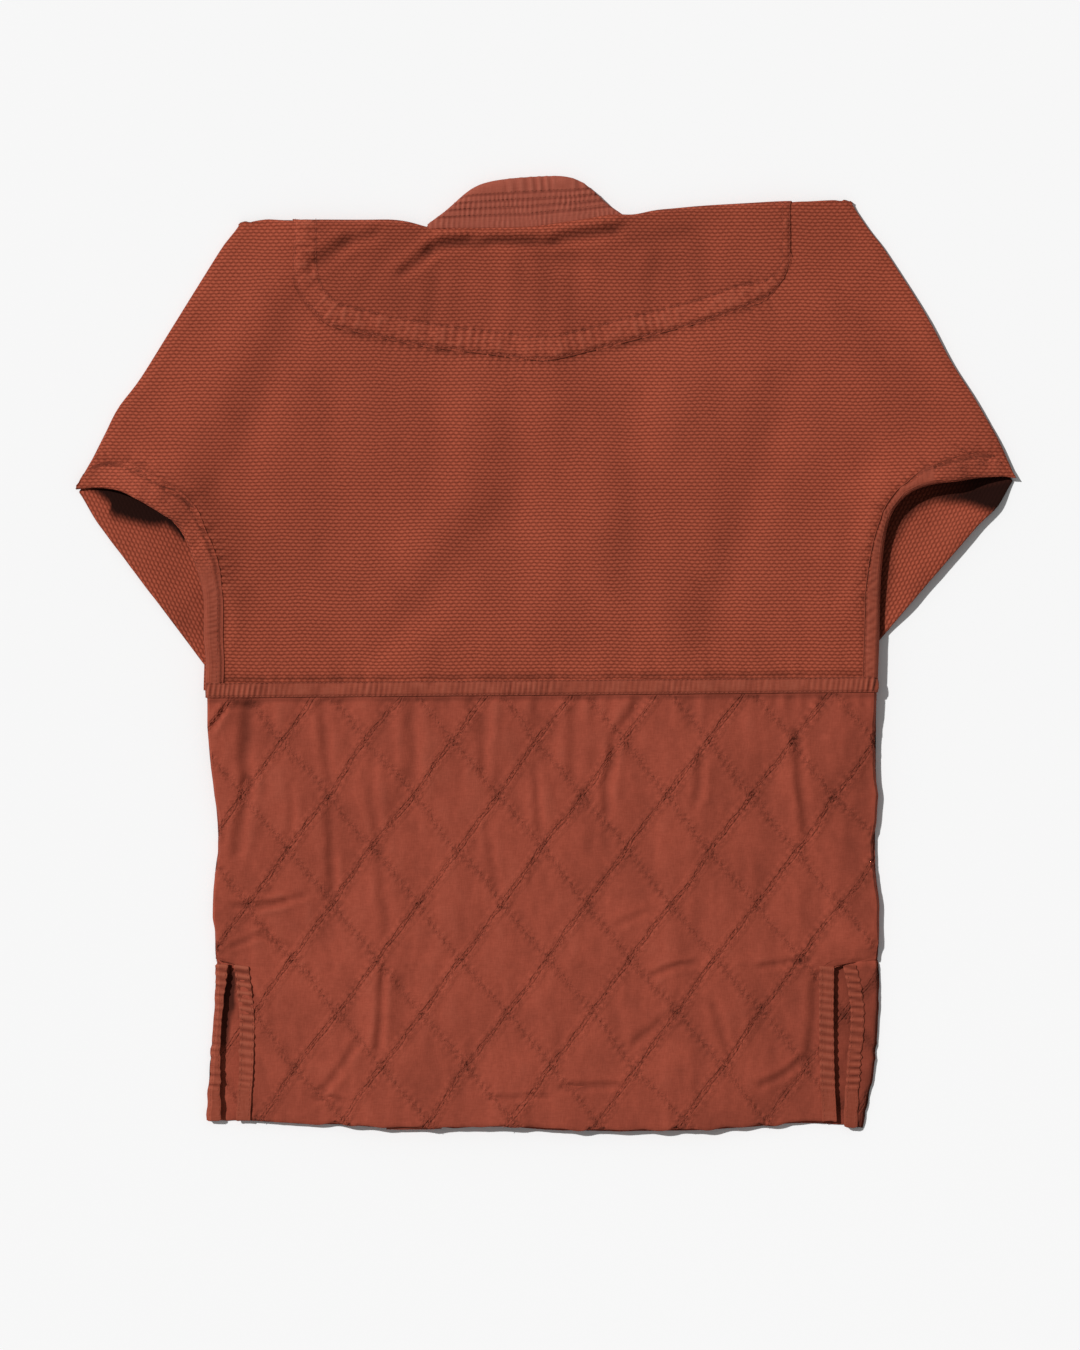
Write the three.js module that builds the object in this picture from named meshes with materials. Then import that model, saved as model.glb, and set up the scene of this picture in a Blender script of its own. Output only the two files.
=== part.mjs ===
// A judo jacket laid out flat on its front, so that its back is uppermost. Each sleeve is folded
// under the body along the slanting line from the shoulder's end to the underarm's tip.
// Millimetres, +Z up, +Y towards the collar, +X towards the wearer's right, origin on the floor
// under the middle of the outline.
import * as THREE from 'three';

// Thickness of each cloth, and the clearances that keep the pieces apart.
const BODY_CLOTH = 2.4;
const FRONT_CLOTH = 2.2;
const SLEEVE_CLOTH = 2.3;
const SKIRT_CLOTH = 1.6;
const PATCH_CLOTH = 1.8;
const TAPE_CLOTH = 1.1;
const BAND_CLOTH = 2.8;
const COLLAR_CLOTH = 6.5;
const SEAM_GAP = 0.3;
const LAYER_GAP = 1.6;
const BACK_GAP = 1.3;
const SLEEVE_HOLLOW = 0.4;

// The waist, the hem and the shoulders.
const WAIST = { leftX: -314, leftY: -34.3, rightX: 304, rightY: -29, tapeHalf: 7, seamHalf: 0.25 };
const NECK = { leftX: -108, rightX: 76, beside: 14, inset: 2.4, radius: 3, frontTurn: 0.8, top: 9.5 };
const SHOULDER_RADIUS = 5;

// The seam at the neck and the shoulder folds, from the wearer's left to right.
const SHOULDER_LINE = [
  { x: -283, y: 395 },
  { x: -232, y: 396.5 },
  { x: -135, y: 396.5 },
  { x: -108, y: 391 },
  { x: -61, y: 391.5 },
  { x: -15, y: 392.5 },
  { x: 33, y: 399 },
  { x: 60, y: 404 },
  { x: 76, y: 402.5 },
  { x: 142, y: 409 },
  { x: 226, y: 413.5 },
  { x: 285, y: 413.5 },
];

// The lower edge of the shoulder patch, from the wearer's left to right.
const PATCH_EDGE = [
  { x: -232, y: 338 },
  { x: -221, y: 319 },
  { x: -209, y: 307 },
  { x: -195, y: 298.5 },
  { x: -169, y: 292.5 },
  { x: -134, y: 284.5 },
  { x: -101, y: 279 },
  { x: -57, y: 274 },
  { x: -15, y: 268 },
  { x: 9, y: 268 },
  { x: 45, y: 277 },
  { x: 80, y: 286 },
  { x: 148, y: 303.5 },
  { x: 182, y: 315.5 },
  { x: 207, y: 326.5 },
  { x: 219, y: 341 },
  { x: 226, y: 358 },
];

// The underarm and side edges from the folded tip down to the waist, a row for each row of the
// body's grid, with the height at which the edge stands clear of what lies under it.
const UNDERARM = [
  { leftX: -433, leftY: 151, rightX: 433, rightY: 162, stand: 3.2 },
  { leftX: -397, leftY: 152, rightX: 405, rightY: 163, stand: 4.3 },
  { leftX: -368, leftY: 138, rightX: 379, rightY: 158.5, stand: 5.2 },
  { leftX: -344, leftY: 123, rightX: 353, rightY: 155.5, stand: 5.7 },
  { leftX: -329, leftY: 102, rightX: 331, rightY: 146, stand: 5.7 },
  { leftX: -319, leftY: 78, rightX: 316, rightY: 127, stand: 4.7 },
  { leftX: -313, leftY: 55, rightX: 310, rightY: 101, stand: 3 },
  { leftX: -312.5, leftY: 30, rightX: 306.5, rightY: 66, stand: 1.5 },
  { leftX: -313, leftY: 2, rightX: 305.5, rightY: 22, stand: 0.5 },
  { leftX: -314, leftY: -27.3, rightX: 304, rightY: -22, stand: 0 },
  { leftX: -314, leftY: -34.3, rightX: 304, rightY: -29, stand: 0 },
];
const EDGE_RADIUS = 4.5;
const EDGE_TURN = 86;

// The sleeves' folds: how far each bows outwards, its half height, and how the roll of the cloth
// opens over the last rows before the underarm's tip.
const FOLD = { shoulderX: 283, leftShoulderY: 395, rightShoulderY: 413, topStart: 15.5, topEnd: 16.5 };
const FOLD_BOW = { left: 1, right: 6 };
const FOLD_OPENING = [
  { rowsFromTip: 2, radius: 7.5, turn: 170 },
  { rowsFromTip: 1, radius: 6.5, turn: 140 },
];
const FOLD_TIP = { radius: 5.2, turn: 100, under: 10 };

// The folded sleeves: the directions of the top fold and of the underarm seam under the body.
const SLEEVES = [
  {
    name: 'sleeve_left',
    shoulder: [-283, 395],
    tip: [-433, 151],
    top: [0.4515, -0.8924],
    under: [0.598, -0.802],
  },
  {
    name: 'sleeve_right',
    shoulder: [285, 411],
    tip: [433, 162],
    top: [-0.545, -0.8385],
    under: [-0.649, -0.761],
  },
];
const SLEEVE_TOP_LENGTH = 460;
const SLEEVE_UNDER_LENGTH = 330;
const SLEEVE_INSET = 11;
const SLEEVE_STATIONS = 8;
const SLEEVE_CELLS = 6;

// The free edges of the two crossing fronts, from the neck by way of the waist to the hem.
const LAPEL_LEFT = [
  { x: -70, y: 428 },
  { x: 133, y: -32 },
  { x: 142, y: -440 },
];
const LAPEL_RIGHT = [
  { x: 36, y: 428 },
  { x: -139, y: -32 },
  { x: -146, y: -440 },
];
const LAPEL_DROP = { left: { free: 4, seam: 39 }, right: { free: 2, seam: 28 }, rows: 4 };
const LAPEL_RUN = 50;
const LAPEL_SEAM = 0.9;
const LAPEL_ROWS = 30;
const HEM_TURN = 1;

// The neckband's outline above the neck seam.
const COLLAR_TOP = [
  { x: -105, y: 396.5 },
  { x: -81, y: 417 },
  { x: -68, y: 428 },
  { x: -52, y: 434.5 },
  { x: -24, y: 438.5 },
  { x: 17, y: 440 },
  { x: 33, y: 434 },
  { x: 47, y: 422.5 },
  { x: 68, y: 408.5 },
  { x: 74, y: 406.5 },
];
const COLLAR_BOTTOM = 4.6;
const COLLAR_CELLS = 18;
const COLLAR_ROWS = [
  { share: 0, fullness: 0.8 },
  { share: 0.1, fullness: 1 },
  { share: 0.4, fullness: 1 },
  { share: 0.7, fullness: 1 },
  { share: 0.9, fullness: 0.85 },
  { share: 1, fullness: 0.2 },
];
const COLLAR_ENDS = [0.25, 0.85];

// The quilted skirt: diamonds sewn corner to corner, with four grid cells across each one. The
// sewn lines first cross on the lattice's second column.
const QUILT = {
  halfWidth: 39,
  halfHeight: 50,
  cells: 2,
  puff: 1.7,
  skew: 0.045,
  startX: -261,
  startY: -81,
  crossing: 1,
  border: 16,
};
const QUILT_COLUMNS = 26;
const SKIRT_ROWS = [
  { y: -56 },
  { y: -81 },
  { y: -106 },
  { y: -131 },
  { y: -156 },
  { y: -181 },
  { y: -206 },
  { y: -231 },
  { y: -256 },
  { y: -281 },
  { y: -288, open: true },
  { y: -306, open: true },
  { y: -331, open: true },
  { y: -356, open: true },
  { y: -381, open: true },
  { y: -406, open: true },
];
const HEM = [
  { x: -313, y: -431 },
  { x: -272, y: -433.5 },
  { x: -198, y: -437 },
  { x: 0, y: -439 },
  { x: 142, y: -437.5 },
  { x: 264, y: -434 },
  { x: 291, y: -439.5 },
];

// The skirt's side folds and the edges of its two vents, from the waist down to the hem.
const SKIRT_SIDES = [
  { y: -32, left: -314, right: 304, backLeft: -290, backRight: 267, frontLeft: -294, frontRight: 274 },
  { y: -98, left: -311, right: 303, backLeft: -290, backRight: 267, frontLeft: -294, frontRight: 274 },
  { y: -126, left: -306, right: 305, backLeft: -290, backRight: 267, frontLeft: -294, frontRight: 274 },
  { y: -181, left: -302.5, right: 301.5, backLeft: -290, backRight: 267, frontLeft: -294, frontRight: 274 },
  { y: -245, left: -306, right: 306, backLeft: -290, backRight: 267, frontLeft: -294, frontRight: 273 },
  { y: -288, left: -305, right: 305, backLeft: -286, backRight: 265, frontLeft: -294, frontRight: 274 },
  { y: -331, left: -306, right: 304, backLeft: -281, backRight: 264.5, frontLeft: -300, frontRight: 281 },
  { y: -372, left: -309, right: 302.5, backLeft: -281, backRight: 265, frontLeft: -302, frontRight: 278 },
  { y: -405, left: -312, right: 295, backLeft: -283, backRight: 266, frontLeft: -301, frontRight: 274.5 },
  { y: -440, left: -313, right: 290, backLeft: -285, backRight: 267.5, frontLeft: -301, frontRight: 274.5 },
];
const FLAP_RADIUS = 3.4;
const FLAP_TAPE_SHARE = 0.95;
const FLAP_TURNS = [
  { flap: 'end', turn: 180 },
  { flap: 'border', turn: 180 },
  { turn: 180 },
  { turn: 120 },
  { turn: 60 },
  { turn: 0 },
];
const VENT_EDGE_TOP = 6.2;
const VENT_TAPE = 13;
const SKIRT_WINGS = { left: 1, right: 3 };
const SKIRT_FRONT_CELLS = 8;

// How far a thickness underneath goes on lifting the cloth beyond its own edge.
const REACH = { sleeveMargin: 25, sleeve: 85, front: 65, edge: 70, shoulder: 45, vent: 40, waist: 40 };

// Broad soft folds of the back: a ridge is positive and a valley negative.
const BACK_FOLDS = [
  { fromX: -30, fromY: 272, toX: -32, toY: 90, width: 46, height: -1.6 },
  { fromX: -46, fromY: 130, toX: -152, toY: 4, width: 34, height: -1.3 },
  { fromX: 78, fromY: 232, toX: 78, toY: 60, width: 44, height: -1.3 },
  { fromX: 216, fromY: 242, toX: 142, toY: 4, width: 38, height: -1.4 },
  { fromX: -235, fromY: 311, toX: -304, toY: 150, width: 40, height: -1.5 },
  { fromX: -212, fromY: 357, toX: -75, toY: 378, width: 22, height: -1.8 },
  { fromX: -50, fromY: 376, toX: 69, toY: 386, width: 20, height: -1.8 },
  { fromX: -322, fromY: 156, toX: -292, toY: 50, width: 24, height: 1.6 },
  { fromX: 330, fromY: 190, toX: 286, toY: 60, width: 24, height: 1.5 },
];

const YOKE_ROWS = 6;
const FOLD_ROWS = 9;
const BODY_ROWS = FOLD_ROWS + UNDERARM.length - 1;
const TURN_STEPS = 3;
const WING_CELLS = 4;
const FRONT_CELLS = 8;
const FRONT_WING_CELLS = 3;
const TAPE_WIDTH = 13.5;
const TAPE_START = 0.06;

const COLOURS = { body: 0x95493a, skirt: 0x8d4334, tape: 0x8a4032, collar: 0x93473a };

const lerp = THREE.MathUtils.lerp;
const radians = THREE.MathUtils.degToRad;

// From 1 at the edge to 0 at the reach, level at both ends.
function fade(distance, reach) {
  return 1 - THREE.MathUtils.smoothstep(distance, 0, reach);
}

// The value of a table's column where another of its columns passes a given place.
function along(table, key, place, column) {
  const rising = table[table.length - 1][key] > table[0][key];
  const passed = (row) => (rising ? row[key] >= place : row[key] <= place);
  const found = table.findIndex(passed);
  const next = Math.max(1, found < 0 ? table.length - 1 : found);
  const a = table[next - 1];
  const b = table[next];
  return lerp(a[column], b[column], (place - a[key]) / (b[key] - a[key]));
}

const shoulderY = (x) => along(SHOULDER_LINE, 'x', THREE.MathUtils.clamp(x, -283, 285), 'y');
const patchY = (x) => along(PATCH_EDGE, 'x', THREE.MathUtils.clamp(x, -232, 226), 'y');
const hemY = (x) => along(HEM, 'x', THREE.MathUtils.clamp(x, -313, 291), 'y');
const inNeck = (x) => x > NECK.leftX - NECK.beside && x < NECK.rightX + NECK.beside;

function waistY(x) {
  const share = (x - WAIST.leftX) / (WAIST.rightX - WAIST.leftX);
  return lerp(WAIST.leftY, WAIST.rightY, share);
}

// Levels of the layers that lie under the back.

function sleeveCorners(sleeve) {
  const [shoulder, tip, top, under] = ['shoulder', 'tip', 'top', 'under'].map(
    (key) => new THREE.Vector2(...sleeve[key]),
  );
  const inwards = tip.clone().sub(shoulder).normalize();
  inwards.set(-inwards.y, inwards.x);
  if (inwards.dot(top) < 0) {
    inwards.negate();
  }
  return [
    shoulder.clone().addScaledVector(top, SLEEVE_INSET / inwards.dot(top)),
    tip.clone().addScaledVector(under, SLEEVE_INSET / inwards.dot(under)),
    tip.clone().addScaledVector(under, SLEEVE_UNDER_LENGTH),
    shoulder.clone().addScaledVector(top, SLEEVE_TOP_LENGTH),
  ];
}

// How far a point lies outside a sleeve's four-sided outline, or 0 inside it.
function outsideSleeve(corners, x, y) {
  const middle = corners.reduce((sum, corner) => sum.add(corner), new THREE.Vector2()).divideScalar(4);
  let outside = 0;
  corners.forEach((corner, k) => {
    const side = corners[(k + 1) % 4].clone().sub(corner).normalize();
    const across = (px, py) => (px - corner.x) * side.y - (py - corner.y) * side.x;
    const sign = Math.sign(across(middle.x, middle.y));
    outside = Math.max(outside, -sign * across(x, y));
  });
  return outside;
}

const sleeveOutlines = SLEEVES.map(sleeveCorners);
const SLEEVE_HEIGHT = 2 * SLEEVE_CLOTH + SLEEVE_HOLLOW;

// The level that the lower front lies on.
function overSleeves(x, y) {
  const lifts = sleeveOutlines.map((corners) => (
    fade(outsideSleeve(corners, x, y) - REACH.sleeveMargin, REACH.sleeve)
  ));
  return (SLEEVE_HEIGHT + SEAM_GAP) * Math.max(...lifts);
}

const lapelLeftX = (y) => along(LAPEL_LEFT, 'y', y, 'x');
const lapelRightX = (y) => along(LAPEL_RIGHT, 'y', y, 'x');
const LAYER = BAND_CLOTH + LAYER_GAP;

function overLeftFront(x, y) {
  return overSleeves(x, y) + LAYER * fade(x - lapelLeftX(y), REACH.front);
}

function overBothFronts(x, y) {
  return overLeftFront(x, y) + LAYER * fade(lapelRightX(y) - x, REACH.front);
}

// The lift of a row of soft folds at a point.
function foldLift(folds, x, y) {
  let lift = 0;
  for (const fold of folds) {
    const run = new THREE.Vector2(fold.toX - fold.fromX, fold.toY - fold.fromY);
    const length = run.length();
    run.normalize();
    const ahead = (x - fold.fromX) * run.x + (y - fold.fromY) * run.y;
    const aside = Math.abs((x - fold.fromX) * run.y - (y - fold.fromY) * run.x);
    const past = Math.max(0, -ahead, ahead - length);
    lift += fold.height * fade(aside, fold.width) * fade(past, fold.width);
  }
  return lift;
}

// Meshes.

function meshFromFaces(name, points, faces, colour) {
  const geometry = new THREE.BufferGeometry();
  geometry.setAttribute('position', new THREE.Float32BufferAttribute(points.flatMap((p) => p.toArray()), 3));
  let volume = 0;
  for (const [a, b, c] of faces) {
    volume += points[a].dot(points[b].clone().cross(points[c]));
  }
  const outwards = volume > 0 ? faces : faces.map(([a, b, c]) => [a, c, b]);
  geometry.setIndex(outwards.flat());
  geometry.computeVertexNormals();
  const material = new THREE.MeshStandardMaterial({ color: colour, roughness: 0.95, metalness: 0 });
  const mesh = new THREE.Mesh(geometry, material);
  mesh.name = name;
  return mesh;
}

// A wall between two grids of points, closed round its edge. With a ring the columns run on into
// one another, so the wall is a tube that is open at its two ends.
function wall(name, outer, inner, colour, { ring = false, slant = () => false } = {}) {
  const rows = outer.length;
  const columns = outer[0].length;
  const points = [...outer.flat(), ...inner.flat()];
  const at = (row, column, side) => side * rows * columns + row * columns + (column % columns);
  const faces = [];
  const quad = (a, b, c, d, turned) => {
    faces.push(...(turned ? [[a, b, d], [b, c, d]] : [[a, b, c], [a, c, d]]));
  };
  const lastColumn = ring ? columns : columns - 1;
  for (let row = 0; row < rows - 1; row += 1) {
    for (let column = 0; column < lastColumn; column += 1) {
      const corners = [[row, column], [row, column + 1], [row + 1, column + 1], [row + 1, column]];
      const turned = slant(row, column);
      quad(...corners.map(([r, c]) => at(r, c, 0)), turned);
      const [a, b, c, d] = corners.map(([r, k]) => at(r, k, 1));
      quad(a, d, c, b, turned);
    }
  }
  for (let column = 0; column < lastColumn; column += 1) {
    const last = rows - 1;
    quad(at(0, column + 1, 0), at(0, column, 0), at(0, column, 1), at(0, column + 1, 1), false);
    quad(at(last, column, 0), at(last, column + 1, 0), at(last, column + 1, 1), at(last, column, 1), false);
  }
  for (let row = 0; row < rows - 1 && !ring; row += 1) {
    const last = columns - 1;
    quad(at(row, 0, 0), at(row + 1, 0, 0), at(row + 1, 0, 1), at(row, 0, 1), false);
    quad(at(row + 1, last, 0), at(row, last, 0), at(row, last, 1), at(row + 1, last, 1), false);
  }
  return meshFromFaces(name, points, faces, colour);
}

// Gives a point of a turned edge the direction that its outer face has there.
function facing(point, x, y, z) {
  return Object.assign(point, { out: new THREE.Vector3(x, y, z) });
}

// The direction out of a grid at each of its points: its own, or that square to its neighbours.
function gridNormals(grid, upwards = 1) {
  const rows = grid.length;
  const columns = grid[0].length;
  return grid.map((line, row) => line.map((point, column) => {
    if (point.out) {
      return point.out.clone();
    }
    const before = grid[row][Math.max(0, column - 1)];
    const after = grid[row][Math.min(columns - 1, column + 1)];
    const above = grid[Math.max(0, row - 1)][column];
    const below = grid[Math.min(rows - 1, row + 1)][column];
    const across = after.clone().sub(before);
    const down = below.clone().sub(above);
    return down.cross(across).normalize().multiplyScalar(upwards);
  }));
}

function movedOut(grid, normals, distance) {
  return grid.map((line, row) => line.map((point, column) => (
    point.clone().addScaledVector(normals[row][column], distance)
  )));
}

const part = (grid, rowFrom, rowTo, columnFrom, columnTo) => (
  grid.slice(rowFrom, rowTo + 1).map((line) => line.slice(columnFrom, columnTo + 1))
);

// A piece that lies on a panel: the panel's own points, moved out by the gap and by the cloth.
function overlay(name, grid, normals, cloth, colour) {
  const under = movedOut(grid, normals, SEAM_GAP);
  const over = movedOut(grid, normals, SEAM_GAP + cloth);
  return wall(name, over, under, colour);
}

// The body's outline at each row: its place, the direction out of it, and how its edge turns down.

function foldPoint(side, share) {
  const left = side < 0;
  const tip = UNDERARM[0];
  const endY = left ? tip.leftY : tip.rightY;
  const startY = left ? FOLD.leftShoulderY : FOLD.rightShoulderY;
  const bow = (left ? FOLD_BOW.left : FOLD_BOW.right) * Math.sin(Math.PI * share);
  return new THREE.Vector2(side * (lerp(FOLD.shoulderX, 433, share) + bow), lerp(startY, endY, share));
}

function outlineRow(side, row) {
  if (row <= FOLD_ROWS) {
    return foldPoint(side, row / FOLD_ROWS);
  }
  const place = UNDERARM[row - FOLD_ROWS];
  return side < 0 ? new THREE.Vector2(place.leftX, place.leftY) : new THREE.Vector2(place.rightX, place.rightY);
}

function edgeOf(side, row) {
  const place = outlineRow(side, row);
  const ahead = outlineRow(side, Math.min(BODY_ROWS, row + 1));
  const behind = outlineRow(side, Math.max(0, row - 1));
  const run = ahead.sub(behind).normalize();
  const outwards = new THREE.Vector2(side * -run.y, side * run.x);
  if (row < FOLD_ROWS) {
    const top = lerp(FOLD.topStart, FOLD.topEnd, row / (FOLD_ROWS - 1));
    const opening = FOLD_OPENING.find((entry) => FOLD_ROWS - entry.rowsFromTip === row);
    const under = top - BODY_CLOTH - LAYER_GAP - FRONT_CLOTH;
    return { place, outwards, top, under, radius: top / 2, turn: 180, ...opening };
  }
  const radius = EDGE_RADIUS;
  const start = place.clone().addScaledVector(outwards, -radius);
  const under = overSleeves(start.x, start.y) + UNDERARM[row - FOLD_ROWS].stand;
  const edge = { place, outwards, top: under + 2 * radius, under, radius, turn: EDGE_TURN };
  return row > FOLD_ROWS ? edge : { ...edge, ...FOLD_TIP };
}

const leftEdges = Array.from({ length: BODY_ROWS + 1 }, (_, row) => edgeOf(-1, row));
const rightEdges = Array.from({ length: BODY_ROWS + 1 }, (_, row) => edgeOf(1, row));

// The middle columns of the body run down to meet those of the quilting.

const quiltX = (column, y) => (
  QUILT.startX + (column * QUILT.halfWidth) / QUILT.cells + QUILT.skew * (QUILT.startY - y)
);

function columnX(row, column) {
  const share = column / (QUILT_COLUMNS - 1);
  const patchX = lerp(PATCH_EDGE[0].x, PATCH_EDGE[PATCH_EDGE.length - 1].x, share);
  return lerp(patchX, quiltX(column, WAIST.leftY), THREE.MathUtils.smoothstep(row, YOKE_ROWS, BODY_ROWS));
}

function rowY(row, x) {
  const inset = inNeck(x) ? NECK.radius + NECK.inset : SHOULDER_RADIUS;
  if (row <= YOKE_ROWS) {
    return lerp(shoulderY(x) - inset, patchY(x), row / YOKE_ROWS);
  }
  if (row === BODY_ROWS) {
    return waistY(x) + WAIST.seamHalf;
  }
  const share = (row - YOKE_ROWS) / (BODY_ROWS - 1 - YOKE_ROWS);
  return lerp(patchY(x), waistY(x) + WAIST.tapeHalf, share);
}

// Levels of the upper body, with the lift that its standing edges give.

const edgeStart = (edge) => edge.place.clone().addScaledVector(edge.outwards, -edge.radius);

function edgeLift(edges, column, level, x, y) {
  return edges.reduce((sum, edge) => {
    const start = edgeStart(edge);
    const near = fade(start.distanceTo(new THREE.Vector2(x, y)), REACH.edge);
    return sum + (edge[column] - level(start.x, start.y)) * near;
  }, 0);
}

const backStack = (x, y) => overBothFronts(x, y) + BACK_GAP + BODY_CLOTH;

function leftFrontUnder(row, x, y) {
  return overSleeves(x, y) + edgeLift([leftEdges[row]], 'under', overSleeves, x, y);
}

function rightFrontUnder(row, x, y) {
  return overLeftFront(x, y) + edgeLift([rightEdges[row]], 'under', overLeftFront, x, y);
}

function backTop(row, x, y) {
  const edges = [leftEdges[row], rightEdges[row]];
  const sides = edges.map((edge) => fade(edgeStart(edge).distanceTo(new THREE.Vector2(x, y)), REACH.edge));
  const shoulderTop = inNeck(x) ? NECK.top : overSleeves(x, y) + 2 * SHOULDER_RADIUS;
  const first = rowY(0, x);
  const nearShoulder = fade(first - y, REACH.shoulder) * (1 - Math.max(...sides));
  const lift = edgeLift(edges, 'top', backStack, x, y);
  const level = backStack(x, y) + lift + (shoulderTop - backStack(x, first)) * nearShoulder;
  return level + foldLift(BACK_FOLDS, x, y);
}

// A point of a turned edge: share 0 is where the turn starts, and 1 is its end.
function turned(edge, share, rising = false) {
  const angle = radians(edge.turn * share);
  const place = edgeStart(edge).addScaledVector(edge.outwards, edge.radius * Math.sin(angle));
  const drop = edge.radius * (1 - Math.cos(angle));
  const point = new THREE.Vector3(place.x, place.y, rising ? edge.under + drop : edge.top - drop);
  const out = edge.outwards.clone().multiplyScalar(Math.sin(angle));
  return facing(point, out.x, out.y, Math.cos(angle) * (rising ? -1 : 1));
}

const turnShares = Array.from({ length: TURN_STEPS + 1 }, (_, step) => 1 - step / TURN_STEPS);

// The places of a row between the turned edge and the first column of the middle.
function wingPlaces(edge, inner, cells) {
  const border = edge.place.clone().addScaledVector(edge.outwards, -TAPE_WIDTH);
  return Array.from({ length: cells }, (_, cell) => border.clone().lerp(inner, cell / cells));
}

// The upper back.

function backRow(row) {
  const raised = (place) => new THREE.Vector3(place.x, place.y, backTop(row, place.x, place.y));
  const middle = Array.from({ length: QUILT_COLUMNS }, (_, column) => {
    const x = columnX(row, column);
    return new THREE.Vector2(x, rowY(row, x));
  });
  const wings = [leftEdges[row], rightEdges[row]].map((edge, k) => [
    ...turnShares.map((share) => turned(edge, share)),
    ...wingPlaces(edge, middle[k === 0 ? 0 : middle.length - 1], WING_CELLS).map(raised),
  ]);
  return [...wings[0], ...middle.map(raised), ...wings[1].reverse()];
}

// How much of the shoulder's turn a column takes: little where the sleeve's fold turns under it.
const shoulderShare = (fromEnd) => (fromEnd > TURN_STEPS ? 1 : 1 - 0.8 * turnShares[fromEnd]);

function shoulderRows(firstRow, underAt, rising) {
  const last = firstRow.length - 1;
  const sign = rising ? -1 : 1;
  return turnShares.slice(0, TURN_STEPS).map((share) => firstRow.map((point, column) => {
    const atNeck = inNeck(point.x);
    const angle = radians(EDGE_TURN * share);
    const height = backTop(0, point.x, point.y) - underAt(point.x, point.y);
    const cover = rising ? 1 : shoulderShare(Math.min(column, last - column));
    const neckRadius = rising ? NECK.frontTurn : NECK.radius;
    const radius = cover * (atNeck ? neckRadius : Math.min(SHOULDER_RADIUS, height / 2));
    const before = rising || !point.out ? new THREE.Vector3(0, 0, sign) : point.out;
    const flat = rising && atNeck;
    const drop = flat ? 0 : radius * (1 - Math.cos(angle));
    const place = new THREE.Vector3(point.x, point.y + radius * Math.sin(angle), point.z - before.z * drop);
    const out = before.clone().multiplyScalar(Math.cos(angle));
    return flat ? facing(place, 0, 0, sign) : facing(place, out.x, Math.sin(angle), out.z);
  }));
}

const rowsDown = Array.from({ length: BODY_ROWS + 1 }, (_, row) => row);
const bodyRows = rowsDown.map(backRow);
const frontUnderAt = (x, y) => (x < 0 ? leftFrontUnder(0, x, y) : rightFrontUnder(0, x, y));
const backOuter = [...shoulderRows(bodyRows[0], frontUnderAt, false), ...bodyRows];
const backNormals = gridNormals(backOuter);
const BACK_COLUMNS = backOuter[0].length;
const WING_COLUMNS = TURN_STEPS + 1 + WING_CELLS;
const FIRST_ROW = TURN_STEPS;

function upperBack() {
  return wall('upper_back', backOuter, movedOut(backOuter, backNormals, -BODY_CLOTH), COLOURS.body);
}

// The patch starts part of the way over the shoulder's turn.
function shoulderPatch() {
  const range = [1, FIRST_ROW + YOKE_ROWS, WING_COLUMNS, BACK_COLUMNS - 1 - WING_COLUMNS];
  const grid = part(backOuter, ...range);
  return overlay('shoulder_patch', grid, part(backNormals, ...range), PATCH_CLOTH, COLOURS.body);
}

function sideTape(name, columnFrom, columnTo) {
  const range = [FIRST_ROW + FOLD_ROWS, FIRST_ROW + BODY_ROWS - 1, columnFrom, columnTo];
  return overlay(name, part(backOuter, ...range), part(backNormals, ...range), TAPE_CLOTH, COLOURS.tape);
}

// The fronts of the upper body, whose outer faces are underneath.

function frontRow(side, row) {
  const edge = (side < 0 ? leftEdges : rightEdges)[row];
  const under = side < 0 ? leftFrontUnder : rightFrontUnder;
  const lapelX = side < 0 ? lapelLeftX : lapelRightX;
  const raised = (place) => new THREE.Vector3(place.x, place.y, under(row, place.x, place.y));
  const insideX = columnX(row, side < 0 ? 0 : QUILT_COLUMNS - 1);
  const bandX = (y) => lapelX(y) + side * (LAPEL_RUN + LAPEL_SEAM);
  const seamX = bandX(rowY(row, bandX(rowY(row, 0))));
  const turn = turnShares.map((share, step) => {
    if (row > FOLD_ROWS) {
      return turned(edge, share, true);
    }
    const inset = edge.radius + SEAM_GAP + step;
    return raised(edge.place.clone().addScaledVector(edge.outwards, -inset));
  });
  const wing = wingPlaces(edge, new THREE.Vector2(insideX, rowY(row, insideX)), FRONT_WING_CELLS);
  const middle = Array.from({ length: FRONT_CELLS + 1 }, (_, cell) => {
    const x = lerp(insideX, seamX, cell / FRONT_CELLS);
    return new THREE.Vector2(x, rowY(row, x));
  });
  const line = [...turn, ...[...wing, ...middle].map(raised)];
  return side < 0 ? line : line.reverse();
}

function front(name, side) {
  const rows = rowsDown.map((row) => frontRow(side, row));
  const outer = [...shoulderRows(rows[0], side < 0 ? leftUnderFirst : rightUnderFirst, true), ...rows];
  const inner = movedOut(outer, gridNormals(outer, -1), -FRONT_CLOTH);
  return wall(name, outer, inner, COLOURS.body);
}

const leftUnderFirst = (x, y) => leftFrontUnder(0, x, y);
const rightUnderFirst = (x, y) => rightFrontUnder(0, x, y);

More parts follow.
